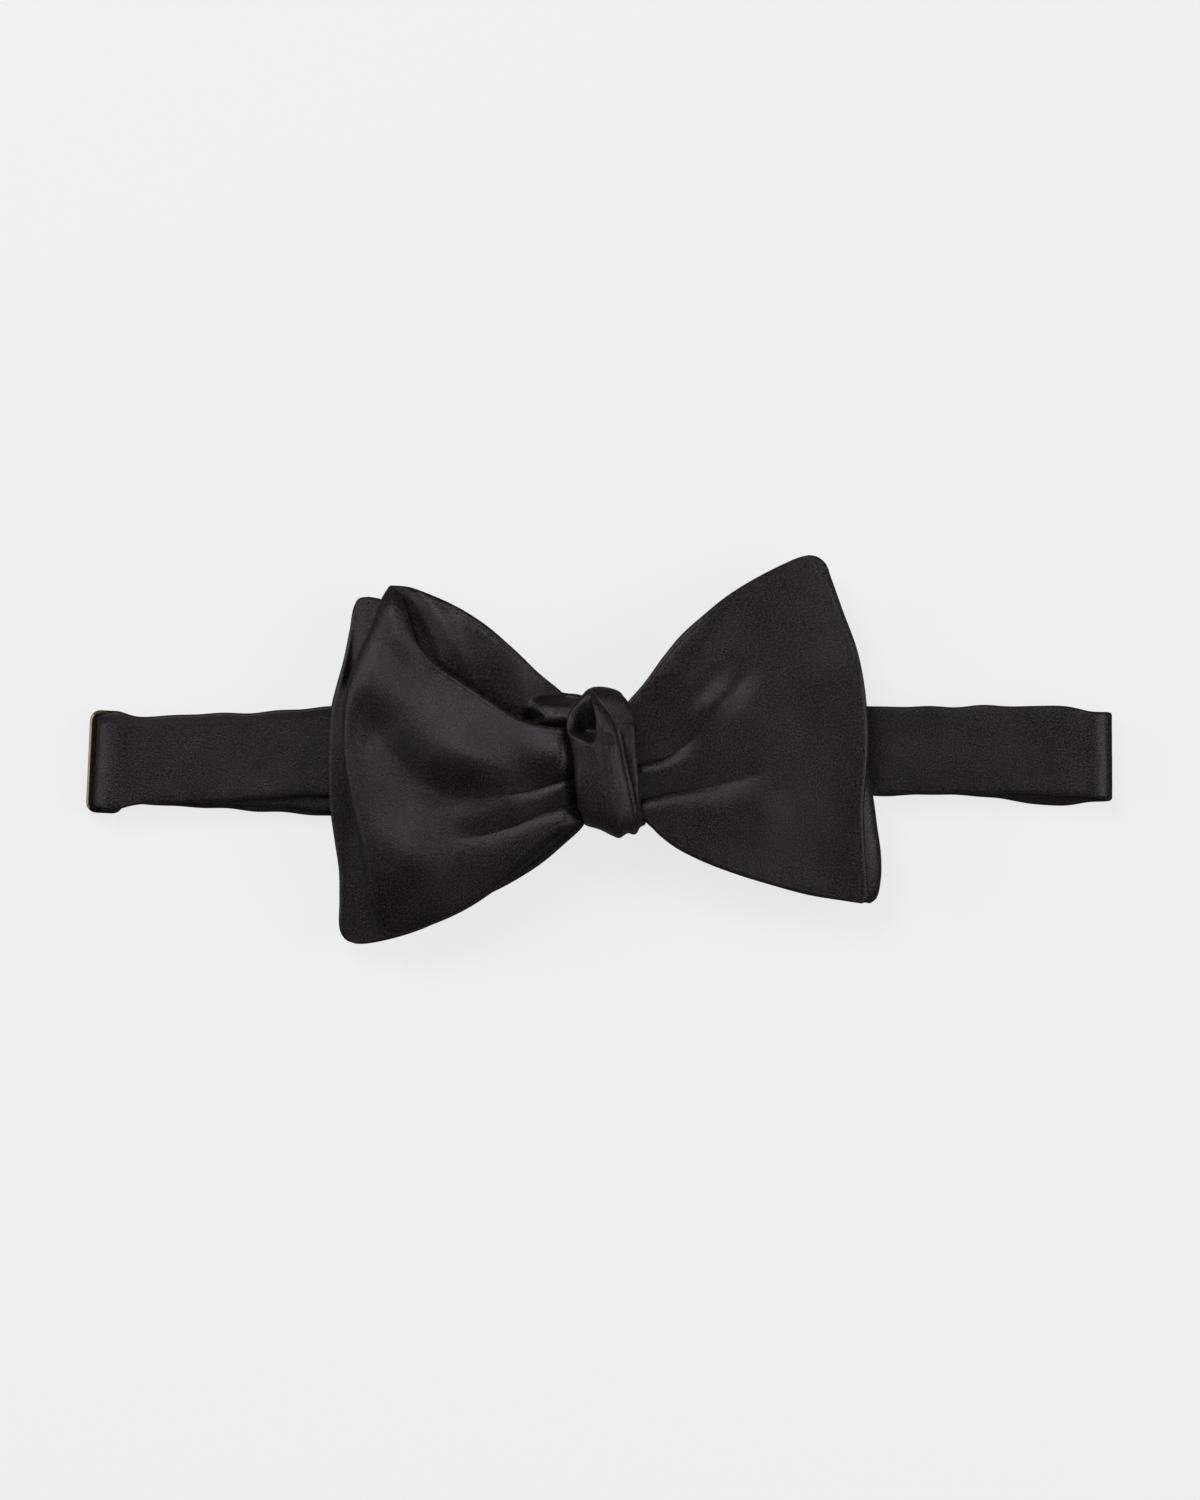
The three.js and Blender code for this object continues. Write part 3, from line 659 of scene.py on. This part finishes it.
def rear_leaf_height(x, y, u, v):
    at_fold = front_level(v) - front_radius(v)
    stands_up = smooth((v - 0.5) / 0.5) * arch(u) ** 0.8 * smooth((u - 0.12) / 0.4)
    z = mix(12.6, at_fold, smooth(u)) + 5.8 * stands_up
    z += ridge(x, y, [(-42, 38), (-36.5, 29), (-32, 21), (-28, 14)], 2.8, 3.4, 1.1, (0.1, 0.4))
    # the small pleat beside the knot, open at its left end
    puff = np.exp(-(((y - 8.3) / 2.9) ** 4) - ((x + 7.2) / 7.9) ** 6)
    z += puff * (5.6 - 0.33 * (y - 8.3) + 0.14 * (x + 8))
    z += mound(x, y, (-15.2, 7.3), (1.9, 1.0), -8, -4.2)
    return z + drift(x, y, 5, 18, 0.16) * arch(u)


FRONT_FOLD = fold_grid(
    front={
        "top": [(-2.6, 4.7), (-7.8, 5.0), (-10.6, 5.2), (-15.1, 6.0), (-19.7, 7.8), (-25.6, 11.7),
                (-31.7, 15.8), (-37.8, 19.9), (-41.6, 24.2), (-43.0, 28.0), (-44.2, 32.0), (-45.6, 34.9),
                (-46.6, 36.6)],
        "bottom": [(-2.6, -15.2), (-4.2, -16.2), (-10.6, -19.0), (-15.8, -23.1), (-22.2, -29.0),
                   (-29.9, -35.3), (-36.2, -38.5), (-42.6, -40.8), (-46.2, -41.6)],
    },
    rear={
        "top": [(-2.6, 9.2), (-6.9, 11.2), (-8.8, 13.3), (-14.0, 17.6), (-19.7, 23.1), (-26.0, 28.5),
                (-32.4, 32.6), (-39.4, 35.8), (-43.8, 37.3), (-46.6, 37.6)],
        "bottom": [(-2.6, -14.8), (-9, -20), (-18, -27.5), (-30, -36), (-40, -40.4), (-46.2, -41.8)],
    },
    crest=[(-47.4, -41.8), (-50.2, -40.2), (-51.8, -36.6), (-53.2, -31.2), (-55.6, -18.1), (-57.4, -8.6),
           (-58.4, -1.6), (-58.5, 6.2), (-57.6, 14.0), (-55.0, 21.6), (-51.8, 28.5), (-49.6, 34.4),
           (-47.7, 37.4)],
    side=-1, radius=front_radius, level=front_level,
    front_height=front_leaf_height, rear_height=rear_leaf_height,
    leaf=120, turn=16, rows=170, start=FRONT_START,
)


# Front bow, right: the loose end.
def front_tip_height(x, y, u, v):
    z = mix(18.8, 15.0, smooth(u)) - 0.003 * y * y * smooth(u) + 1.5 * arch(u) ** 2
    # the two pleats gathered in the knot
    z += pleat(x, y, [(4, -4.4), (9, -3.3), (14, -2.3), (19, 0.6), (23.5, 5.0), (26.5, 8.0)],
               1.6, 1.9, 0.55, 0.2, fade=0.75)
    z += pleat(x, y, [(4, -12.4), (9.2, -11.5), (17.2, -9.8), (24.4, -8.8), (34.2, -6.3), (41.5, -4.3),
                      (49, -2.4)], 1.7, 2.3, 0.7, 0.1, fade=0.85)
    # the swells above and below them
    z += ridge(x, y, [(18, 5.4), (24.5, 8.8), (29.5, 13.4), (35.5, 21)], 3.6, 3.0, 1.35, (0.45, 0.45))
    z += mound(x, y, (54, 18), (7, 7), 0, 0.65)
    z += ridge(x, y, [(12, 10.5), (17, 18), (24, 27), (32, 34)], 5, 5.5, 0.8, (0.3, 0.3))
    z += ridge(x, y, [(18, -15.0), (30, -13.6), (44, -12)], 4.4, 5.5, 0.5, (0.4, 0.3))
    z += mound(x, y, (38, -12), (10, 8), 0, 0.9)
    return z + drift(x, y, 11, 24, 0.16) * arch(u)


FRONT_TIP = tip_grid({
    "top": [(4.6, 8.6), (6.5, 11.2), (9.9, 15.1), (14.2, 21.0), (18.3, 26.0), (23.3, 30.5), (28.7, 34.9),
            (34.9, 38.8), (41.5, 42.2), (45.6, 43.9), (47.6, 44.3)],
    "bottom": [(4.6, -13.4), (9.2, -15.6), (11.7, -17.6), (13.5, -19.4), (17.2, -22.2), (23.3, -25.3),
               (30.6, -28.1), (39.0, -30.7), (47.6, -33.0), (54.9, -34.2), (59.4, -34.9)],
    "outer": [(59.4, -34.9), (60.8, -34.2), (60.6, -28.7), (60.1, -20.8), (59.9, -13.5), (60.5, -5.5),
              (60.9, 2.4), (60.6, 9.3), (59.8, 16.2), (58.2, 23.4), (55.2, 31.6), (52.6, 39.0), (51.3, 42.4),
              (49.3, 44.0), (47.6, 44.3)],
}, front_tip_height, 130, 170)


# Back bow, left: the loose end behind the fold.
def back_tip_height(x, y, u, v):
    z = mix(11.0, 8.6, smooth(u)) - 0.001 * (y + 2) ** 2 * smooth(u)
    z += mound(x, y, (-59, 8), (3, 12), 0, 0.5)
    z += mound(x, y, (-57, -22), (3, 10), 0, -0.5)
    # it dips beside the fold in front of it
    z -= 1.6 * np.exp(-(((x + 56.0) / 2.5) ** 2)) * smooth((y - 11) / 6)
    return z + drift(x, y, 21, 24, 0.25) * arch(u * 0.8)


BACK_TIP = tip_grid({
    "top": [(-2.6, 12.0), (-5.2, 12.7), (-8.8, 13.2), (-14, 16.2), (-22, 21.6), (-34, 28.6), (-46, 33.2),
            (-50.4, 34.5), (-52.6, 34.9)],
    "bottom": [(-2.6, -14.6), (-3.9, -17.4), (-8.1, -21.4), (-13.3, -25.8), (-19.7, -29.9), (-27.2, -33.8),
               (-34.9, -38.1), (-40.6, -40.8), (-47.6, -43.0), (-53.4, -44.1), (-55.6, -44.1)],
    "outer": [(-55.6, -44.1), (-57.8, -43.2), (-59.2, -41.0), (-59.3, -34.0), (-59.4, -27.6), (-60.3, -21.2),
              (-61.4, -13.1), (-61.8, -5.3), (-61.7, 3.1), (-61.2, 9.4), (-60.0, 14.5), (-58.4, 20.4),
              (-57.0, 27.4), (-56.1, 32.4), (-54.9, 34.5), (-52.6, 34.9)],
}, back_tip_height, 90, 90)


# Back bow, right: the folded wing behind the loose end.
BACK_START = math.radians(62)


def back_radius(v):
    return 1.5 + 1.1 * arch(v)


def back_level(v):
    return 6.9 + 4.3 * arch(v) ** 0.7


def back_front_height(x, y, u, v):
    at_fold = back_level(v) + back_radius(v) * math.sin(BACK_START)
    z = mix(13.0, at_fold, smooth(u)) + LEAF_RUN / math.tan(BACK_START) * u**6 * (1 - u)
    return z + drift(x, y, 31, 22, 0.15) * arch(u)


def back_rear_height(x, y, u, v):
    at_fold = back_level(v) - back_radius(v)
    return mix(10.3, at_fold, smooth(u)) + drift(x, y, 33, 22, 0.15) * arch(u)


BACK_LEAF = {
    "top": [(4.6, 7), (8.5, 10.6), (20, 23), (36, 33.6), (47.5, 37)],
    "bottom": [(4.6, -12.4), (9.5, -15), (15, -19.4), (28, -26), (45, -31.4), (60.0, -34.3)],
}
BACK_FOLD = fold_grid(
    front=BACK_LEAF, rear=BACK_LEAF,
    crest=[(61.2, -34.7), (62.9, -33.6), (63.9, -29.4), (63.9, -23.8), (63.0, -17.2), (62.2, -11.2),
           (61.0, -4.8), (60.2, 2.2), (58.4, 13), (54.6, 26), (49, 37)],
    side=1, radius=back_radius, level=back_level,
    front_height=back_front_height, rear_height=back_rear_height,
    leaf=60, turn=12, rows=80, start=BACK_START,
)


def stand_in(piece, body, slot, *nodes):
    """piece moves with body and is shown instead of nodes. slot is not used."""
    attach(piece, body)
    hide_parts(*nodes)


def wing(middle, face_side, face_node, core_node, back_node, held):
    """The satin panels and the interlining of one wing."""
    closed_end = held == "laid"  # a loose tip ends in a seam, a folded wing ends in the knot
    face = panel(face_node + "_satin", middle, face_side, SATIN, closed_end)
    back = panel(back_node + "_satin", middle, -face_side, SATIN, closed_end)
    core = core_sheet(core_node + "_canvas", middle[::2, ::2], INTERLINING)
    plies = ((face, face_node, "satin"), (back, back_node, "satin"), (core, core_node, "interlining"))
    for piece, node, slot in plies:
        stand_in(piece, "tie", slot, node)


wing(FRONT_FOLD, -1, "front_fold_face", "front_fold_interlining", "front_fold_lining",
     "folded")
wing(FRONT_TIP, 1, "front_tip_face", "front_tip_interlining", "front_tip_back",
     "laid")
wing(BACK_TIP, -1, "back_tip_face", "back_tip_interlining", "back_tip_back",
     "laid")
wing(BACK_FOLD, 1, "back_fold_face", "back_fold_interlining", "back_fold_lining",
     "folded")


# ------------------------------------------------------------------ knot
# Outlines of the knot: its top and bottom as y at each x, and the wraps' edges as x at each y.
knot_top = along([(9.5, -8.5), (11.9, -4.7), (13.4, -3.5), (14.2, -1.9), (14.4, 0.3), (14.0, 2.6),
                  (12.9, 5.1), (11.4, 6.5), (9.5, 8.5)])
knot_bottom = along([(-16.6, -6), (-17.2, -3.7), (-17.5, -1.9), (-18.2, 0.3), (-19.4, 2.6), (-20.0, 4.4),
                     (-19.3, 5.6), (-18.9, 6.5), (-19.2, 7.4), (-19.0, 8.3), (-17.5, 9.4), (-17.4, 11.5)])
wrap_left = along([(-3.2, -24), (-3.7, -16.9), (-4.9, -13.1), (-5.6, -7.2), (-5.9, -2.8), (-6.6, 1.7),
                   (-7.6, 5.8), (-6.9, 9.2), (-5.0, 12.0), (-3.4, 14.0), (-3.0, 20)])
wrap_right = along([(8.6, -24), (8.3, -16.9), (7.8, -14.4), (6.7, -9.0), (5.6, -3.7), (4.4, 2.4), (3.3, 6.2),
                    (1.6, 9.7), (-0.4, 12.4), (-1.4, 14.2), (-1.6, 20)])
under_right = along([(10.6, -24), (10.4, -17.4), (9.5, -14.4), (9.0, -10.1), (8.8, -5.8), (8.2, 0.1),
                     (7.9, 5.8), (7.4, 9.7), (6.3, 11.6), (5.0, 13.5), (4.6, 20)])


def under_left(y):
    """The hidden edge of the second wrap, which keeps clear of the first one's tuck."""
    return wrap_right(y) - 4.5 + 2.8 * smooth(y / 4)


def knot_grid(left, right, inset, dents, columns=90, rows=220):
    """A wrap round the knot, from its left edge to its right one, closed behind.

    inset is how far it lies inside the outermost wrap, and dents moves its front over and down.
    """
    angle = np.linspace(0, 2 * np.pi, rows, endpoint=False)
    t, a = np.meshgrid(np.linspace(0, 1, columns), angle)
    power = 2 / 3.3  # the section is a flattened oval
    c = np.sign(np.cos(a)) * np.abs(np.cos(a)) ** power
    s = np.sign(np.sin(a)) * np.abs(np.sin(a)) ** power
    y = KNOT_Y + KNOT_TALL * c
    x = mix(left(y), right(y), t)
    high, low = knot_top(x), knot_bottom(x)
    y = np.where(c > 0, KNOT_Y + c * (high - KNOT_Y), KNOT_Y + c * (KNOT_Y - low))
    x = mix(left(y), right(y), t)
    z = KNOT_Z + (KNOT_DEPTH - inset) * s
    roll = np.minimum(t, 1 - t) * (right(y) - left(y))
    edge = np.clip(roll / 1.6, 0, 1)
    turned_in = 1.1 * (1 - np.sqrt(np.clip(1 - (1 - edge) ** 2, 0, 1)))
    front = smooth((s + 0.1) / 0.4)
    z = z - turned_in * np.sign(s) * np.abs(s) ** 0.5
    y = y - turned_in * 0.6 * c
    over, down = dents(x, y, t)
    return np.stack([x + over * front, y, z + down * front], -1)


tuck_left = along([(-2.0, 1.4), (-4.1, 2.5), (-6.0, 3.4), (-7.2, 4.9), (-7.2, 7.2), (-5.9, 9.8),
                   (-3.9, 12.7), (-3.2, 14.5)])
tuck_right = along([(-1.8, 1.4), (-0.9, 2.8), (0.0, 4.8), (0.05, 7.4), (-0.5, 10.0), (-2.1, 12.9),
                    (-2.9, 14.5)])


def wrap_dents(x, y, t):
    """The tuck at the wrap's upper left, whose right lip hangs over it, and the gathers at its foot."""
    left, right = tuck_left(y), tuck_right(y)
    s = (x - left) / np.maximum(right - left, 0.2)
    inside = np.where(s < 0.93, smooth((s + 0.15) / 0.75), smooth((1 - s) / 0.07))
    deepest_at_foot = np.clip((y - 1.5) / 2.7, 0, 1) * (1 - smooth((y - 3) / 10.8)) ** 0.8
    tuck = -6.6 * inside * deepest_at_foot
    lip = ridge(x, y, [(-1.4, 13.6), (0.6, 10), (1.1, 7.2), (1.0, 4.6), (-0.6, 1.8)], 0.9, 0.8, 0.4)
    ledge = ridge(x, y, [(-7.2, 3.6), (-5.2, 1.8), (-2.4, 0.7)], 1.0, 1.6, 0.15)
    gathers = 0.16 * np.sin(x * 2.6 + 0.6) * smooth((-15.5 - y) / 3)
    at_lip = np.where(s < 1, smooth((s - 0.93) / 0.07), np.exp(-(((x - right) / 1.6) ** 2)))
    over = -at_lip * smooth((y - 2) / 3) * smooth((14 - y) / 4)
    down = tuck + lip + ledge + gathers + 1.3 * arch(t) + drift(x, y, 41, 9, 0.1)
    return over, down


def under_dents(x, y, t):
    """The fold that runs down the second wrap, and the step near its top."""
    fold = pleat(x, y, [(5.0, 2.0), (5.9, -2.7), (7.2, -7.9), (8.4, -14.4), (8.9, -18)],
                 0.7, 0.35, 0.35, fade=0.2, opening=0)
    step = 0.5 * smooth((y - 5.6) / 0.7)
    return 0, fold - step + drift(x, y, 43, 9, 0.1)


def knot_piece(node, grid):
    """A piece of the knot, from a grid whose rows go once round it."""
    rows, columns = grid.shape[:2]
    uv = np.stack([lengths(grid, 0), lengths(grid, 1)], -1)
    faces = grid_faces(rows, columns, flip=True, around=True)
    piece = mesh_object(node + "_satin", grid, faces, uv, SATIN)
    stand_in(piece, "tie", "satin", node)
    return piece


wrap = knot_piece("knot_wrap", knot_grid(wrap_left, wrap_right, 0.0, wrap_dents))
under_wrap = knot_piece("knot_under_wrap", knot_grid(under_left, under_right, 1.0, under_dents, columns=44))


def knot_core_grid():
    """The pinched middles of both bows, gathered inside the knot."""
    angle = np.linspace(0, 2 * np.pi, 90, endpoint=False)
    x, a = np.meshgrid(np.linspace(-3.4, 5.4, 30), angle)
    gathered = 1 + 0.05 * np.sin(a * 9) + 0.03 * np.sin(a * 23 + 1)
    return np.stack([x, KNOT_Y + 12.6 * gathered * np.cos(a), KNOT_Z - 0.8 + 4.3 * gathered * np.sin(a)], -1)


core = knot_piece("knot_core", knot_core_grid())

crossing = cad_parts["band_crossing"]
crossing.data.materials.clear()
crossing.data.materials.append(CROSSING_SATIN)


# ------------------------------------------------------------------ neckband
def turn_points(end, reach, y0, y1, high, steps=9):
    """A half turn from the front layer down to the back layer, out to x = end."""
    level, half = (high + BACK_LAYER) / 2, (high - BACK_LAYER) / 2
    out = []
    for k in range(steps + 1):
        a = math.pi * (0.5 - k / steps)
        x = end + reach * (math.cos(a) - 1)
        out.append((x, mix(y0, y1, k / steps), level + half * math.sin(a)))
    return out


RIGHT_END = 116.6 - BAND_THICK / 2
RIGHT_PATH = [
    (4, 0.2, FRONT_LAYER + 0.6), (20, 0.1, FRONT_LAYER), (60, 0, FRONT_LAYER), (84, 0.1, FRONT_LAYER),
    (98, 0.1, FRONT_LAYER), (107, -0.3, FRONT_LAYER + 0.1),
    *turn_points(RIGHT_END, 4.4, -0.9, -2.1, FRONT_LAYER + 0.5),
    (106, -2.6, BACK_LAYER), (95, -1.9, BACK_LAYER), (84, -0.5, BACK_LAYER), (54.6, -0.8, BACK_LAYER),
]
# The left half goes over the slide's centre bar, down through its left slot and back under itself.
LEFT_PATH = [
    (-2, 1.4, FRONT_LAYER + 0.6), (-20, 1.0, FRONT_LAYER), (-61.5, -0.1, FRONT_LAYER),
    (-80, -1.3, FRONT_LAYER), (-94, -1.9, FRONT_LAYER), (-102, -2.3, FRONT_LAYER - 0.1),
    (-106.5, -2.5, FRONT_LAYER + 0.2),
    (-109.3, -2.5, 7.05), (-111.4, -2.5, 6.85), (-113.1, -2.5, 6.15), (-114.15, -2.5, 5.3),
    (-114.25, -2.5, 4.6), (-113.75, -2.5, 3.9), (-113.4, -2.5, 3.0), (-112.7, -2.5, 1.9),
    (-111.2, -2.5, 1.15), (-109, -2.5, 0.8), (-104, -2.5, 0.95), (-94, -3.1, 1.6), (-80, -3.9, 2.5),
    (-62, -5.1, 2.7), (-45, -5.1, 1.6), (-30, -5, BACK_LAYER), (14, -3.4, BACK_LAYER),
]
TAIL_PATH = [
    (-101.2, -2.5, 2.75), (-94, -1.9, 3.3), (-80, -2.6, 4.25), (-62, -3.6, 4.4), (-42, -4, 3.1),
    (-20, -4, TAIL_LAYER), (6, -3.8, TAIL_LAYER), (14, -3.5, TAIL_LAYER + 0.5),
]


def strap(name, path, nodes, flat_length, slot, material, shortens=False, **looks):
    piece = band(name, path, material, **looks)
    if shortens:
        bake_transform(piece)
    else:
        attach(piece, "tie")
    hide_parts(*nodes)


LEANS_WITH_SLIDE = (SLIDE_LEAN, -100, -108, SLIDE_Y)
CANVAS = {"slot": "interlining", "material": INTERLINING, "width": CANVAS_WIDTH, "thick": CANVAS_THICK,
          "waves": 0, "edges": 0}
strap("right_band_satin", RIGHT_PATH, ["right_band"], 0.178, "satin", SATIN, seed=51, step=0.6)
strap("right_band_canvas", RIGHT_PATH, ["right_band_interlining"], 0.178, step=3, **CANVAS)
strap("left_band_satin", LEFT_PATH, ["left_band", "adjuster_fold", "adjuster_strap"], 0.243, "satin", SATIN,
      shortens=True, seed=57, step=0.6, bulge=(109.0, 3.4, 1.3), lean=LEANS_WITH_SLIDE)
strap("left_band_canvas", LEFT_PATH, ["left_band_interlining"], 0.243, shortens=True, step=1.2,
      lean=LEANS_WITH_SLIDE, **CANVAS)
strap("adjuster_tail_satin", TAIL_PATH, ["adjuster_tail"], 0.115, "satin", SATIN, shortens=True, seed=61,
      thick=1.2)


def loop_path(bar_x, bar_z, half_x, half_z, end_x, end_z, y):
    """From over a bar, round its left side and back under it to end_x."""
    points = [(bar_x + half_x + 0.6, y, bar_z + half_z)]
    for k in range(13):
        a = math.pi * (0.5 + k / 12)
        points.append((bar_x + half_x * math.cos(a), y, bar_z + half_z * math.sin(a)))
    return points + [(bar_x + 3, y, mix(bar_z - half_z, end_z, 0.6)), (end_x, y, end_z)]


def bar_loop(node, body, path, seed):
    """The end of a band, sewn round a bar."""
    piece = band(node + "_satin", path, SATIN, width=BAR_LOOP_WIDTH, thick=BAR_LOOP_THICK, step=0.4,
                 waves=0.05, edges=0.05, seed=seed)
    stand_in(piece, body, "satin", node)


def stitches(node, body, x, y, z):
    """A zigzag of thread across a band, over its surface at z."""
    half, width, turns, lift = 8, 1.3, 40, 0.12
    zigzag = [(x + (width / 2) * (1 if k % 2 else -1), y + mix(-half, half, k / turns), z + lift * (k % 2))
              for k in range(turns + 1)]
    path = curve(zigzag, 6)(np.linspace(0, 1, 400))
    stand_in(rod(node + "_thread", path, 0.14, THREAD), body, "thread", node)


# ------------------------------------------------------------------ adjuster slide
SLIDE_LOOPS = [outline(8.4, 2.4), window(2.2, 5.6, 0.5), window(6.5, 7.6, 0.4)]
BAR_X, SLIDE_Z = SLIDE_X + 6.05, SLIDE_FLOOR + PLATE_THICK / 2  # the centre bar, and the plate's middle
PAINTED_HIGHLIGHT_WIDTH = 0.8  # how far in from the slide's left end its left-facing faces get a painted highlight: lighter champagne metal standing in for that polished edge's reflection

slide = plate("adjuster_slide_metal", SLIDE_LOOPS, PLATE_THICK, 0.5)
slide.data.materials.append(CHAMPAGNE_HIGHLIGHT_PAINT)
# painted highlight: the faces at the slide's left end that face left take the lighter champagne metal
for face in slide.data.polygons:
    if face.normal.x < -0.15 and face.center.x < PAINTED_HIGHLIGHT_WIDTH * MM:
        face.material_index = 1
place(slide, SLIDE_X, SLIDE_Y, SLIDE_Z, SLIDE_LEAN)
smooth_by_angle(slide)
stand_in(slide, "adjuster", "metal", "adjuster_slide")

bar_loop("tail_end_loop", "adjuster",
         loop_path(BAR_X, SLIDE_Z, 1.0, 1.1, -100.4, TAIL_LAYER + 0.5, SLIDE_Y), 63)
stitches("tail_bar_tack", "adjuster", -104.4, -2.6, 3.15)

# ------------------------------------------------------------------ hook and eye
HOOK_LOOPS = [outline(8, 1.8), window(1.4, 4.4, 0.5)]
EYE_LOOPS = [outline(9.5, 1.8), window(1.8, 7.9, 0.5)]
# The hook's tongue from the side, as x from the plate's left end and z from its underside.
TONGUE = [(4, 0.2), (6.4, 0.4), (8.2, 1.6), (10, 2.35), (15.6, 2.35), (16.9, 1.9), (16.95, -0.2),
          (16.2, -0.75), (13.6, -0.95), (13.4, -1.3), (13.8, -1.62), (16.6, -1.6), (17.8, -0.9), (18, 2.2),
          (17, 3.2), (9.6, 3.25), (7.4, 2.6), (5.8, 1.2), (4, 1.1)]
TONGUE_WIDTH = 8.0

hook_plate = plate("closure_hook_metal", HOOK_LOOPS, PLATE_THICK, 0.3)
place(hook_plate, HOOK_X, HOOK_Y, CLOSURE_Z)
tongue = plate("hook_tongue", [TONGUE], TONGUE_WIDTH, 0.2)
place(tongue, HOOK_X, HOOK_Y, CLOSURE_Z - PLATE_THICK / 2, upright=True)
hook = smooth_by_angle(joined(hook_plate, tongue))
stand_in(hook, "hook", "metal", "closure_hook")

eye = plate("closure_eye_metal", EYE_LOOPS, PLATE_THICK, 0.3)
smooth_by_angle(place(eye, EYE_X, EYE_Y, CLOSURE_Z))
stand_in(eye, "tie", "metal", "closure_eye")

# The strap comes from the left, goes round the hook's bar and comes back under itself.
HOOK_BAR, HOOK_TURN = HOOK_X + 0.7, 1.7
hook_loop_path = [
    (12, HOOK_Y - 0.3, TAIL_LAYER + 0.6), (20, HOOK_Y, 3.4), (28, HOOK_Y, CLOSURE_Z + HOOK_TURN),
    *[(HOOK_BAR + HOOK_TURN * math.cos(a), HOOK_Y, CLOSURE_Z + HOOK_TURN * math.sin(a))
      for a in np.linspace(math.pi / 2, -math.pi / 2, 11)],
    (28, HOOK_Y, BACK_LAYER), (12, HOOK_Y - 0.3, BACK_LAYER),
]
hook_loop = band("hook_strap_loop_satin", hook_loop_path, SATIN, thick=1.2, step=0.5, seed=71, waves=0.08)
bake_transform(hook_loop)
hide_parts("hook_strap_loop")

bar_loop("eye_strap_loop", "tie",
         loop_path(EYE_X + 8.7, CLOSURE_Z, 1.3, 1.1, 60.4, CLOSURE_Z + 1.2, EYE_Y), 73)
stitches("eye_bar_tack", "tie", 56.9, EYE_Y, 3.85)

# ------------------------------------------------------------------ floor, lights and camera
floor_mesh = bpy.data.meshes.new("floor")
floor_mesh.from_pydata([(-3, -3, 0), (3, -3, 0), (3, 3, 0), (-3, 3, 0)], [], [(0, 1, 2, 3)])
floor = bpy.data.objects.new("floor", floor_mesh)
bpy.context.scene.collection.objects.link(floor)
floor_look, _, _, floor_shader = material_with("pale_floor")
floor_shader.inputs["Base Color"].default_value = (0.16, 0.16, 0.16, 1)
floor_shader.inputs["Roughness"].default_value = 0.9
floor_shader.inputs["Specular IOR Level"].default_value = 0.1
floor_shader.inputs["Emission Color"].default_value = (1, 1, 1, 1)
floor_shader.inputs["Emission Strength"].default_value = 0.765
floor_mesh.materials.append(floor_look)
floor.visible_glossy = False


def softbox(name, azimuth, elevation, size, power):
    """A soft light that looks at the origin. Its azimuth, in degrees, is anticlockwise from +X."""
    distance = 1.4
    lamp = bpy.data.lights.new(name, "AREA")
    lamp.shape = "RECTANGLE"
    lamp.size, lamp.size_y = size
    lamp.energy = power
    made = bpy.data.objects.new(name, lamp)
    a, e = math.radians(azimuth), math.radians(elevation)
    direction = Vector((math.cos(a) * math.cos(e), math.sin(a) * math.cos(e), math.sin(e)))
    made.location = distance * direction
    made.rotation_euler = (-Vector(made.location)).to_track_quat("-Z", "Y").to_euler()
    bpy.context.scene.collection.objects.link(made)
    return made


softbox("left_softbox", 122, 51, (0.75, 0.55), 7.4)
softbox("right_softbox", 4, 35, (0.8, 0.5), 6)
softbox("lower_fill", 300, 50, (0.8, 0.6), 1.1)
softbox("left_strip", 168, 22, (0.9, 0.3), 4)

world = bpy.data.worlds.new("studio")
world.use_nodes = True
world.node_tree.nodes["Background"].inputs["Color"].default_value = (1, 1, 1, 1)
world.node_tree.nodes["Background"].inputs["Strength"].default_value = 0.07
bpy.context.scene.world = world
bpy.context.scene.view_settings.view_transform = "Standard"

LENS, SENSOR = 300.0, 36.0  # both in millimetres
FRAME_HEIGHT = 0.3409  # metres from the top of the view to its bottom, on the plane below
VIEW_PLANE = 0.01  # the height of that plane, about the bow's middle
camera_data = bpy.data.cameras.new("camera")
camera_data.lens = LENS
camera_data.sensor_width = SENSOR
camera_data.clip_end = 20
camera = bpy.data.objects.new("camera", camera_data)
camera.location = (0, 0, FRAME_HEIGHT * LENS / SENSOR + VIEW_PLANE)
bpy.context.scene.collection.objects.link(camera)
bpy.context.scene.camera = camera
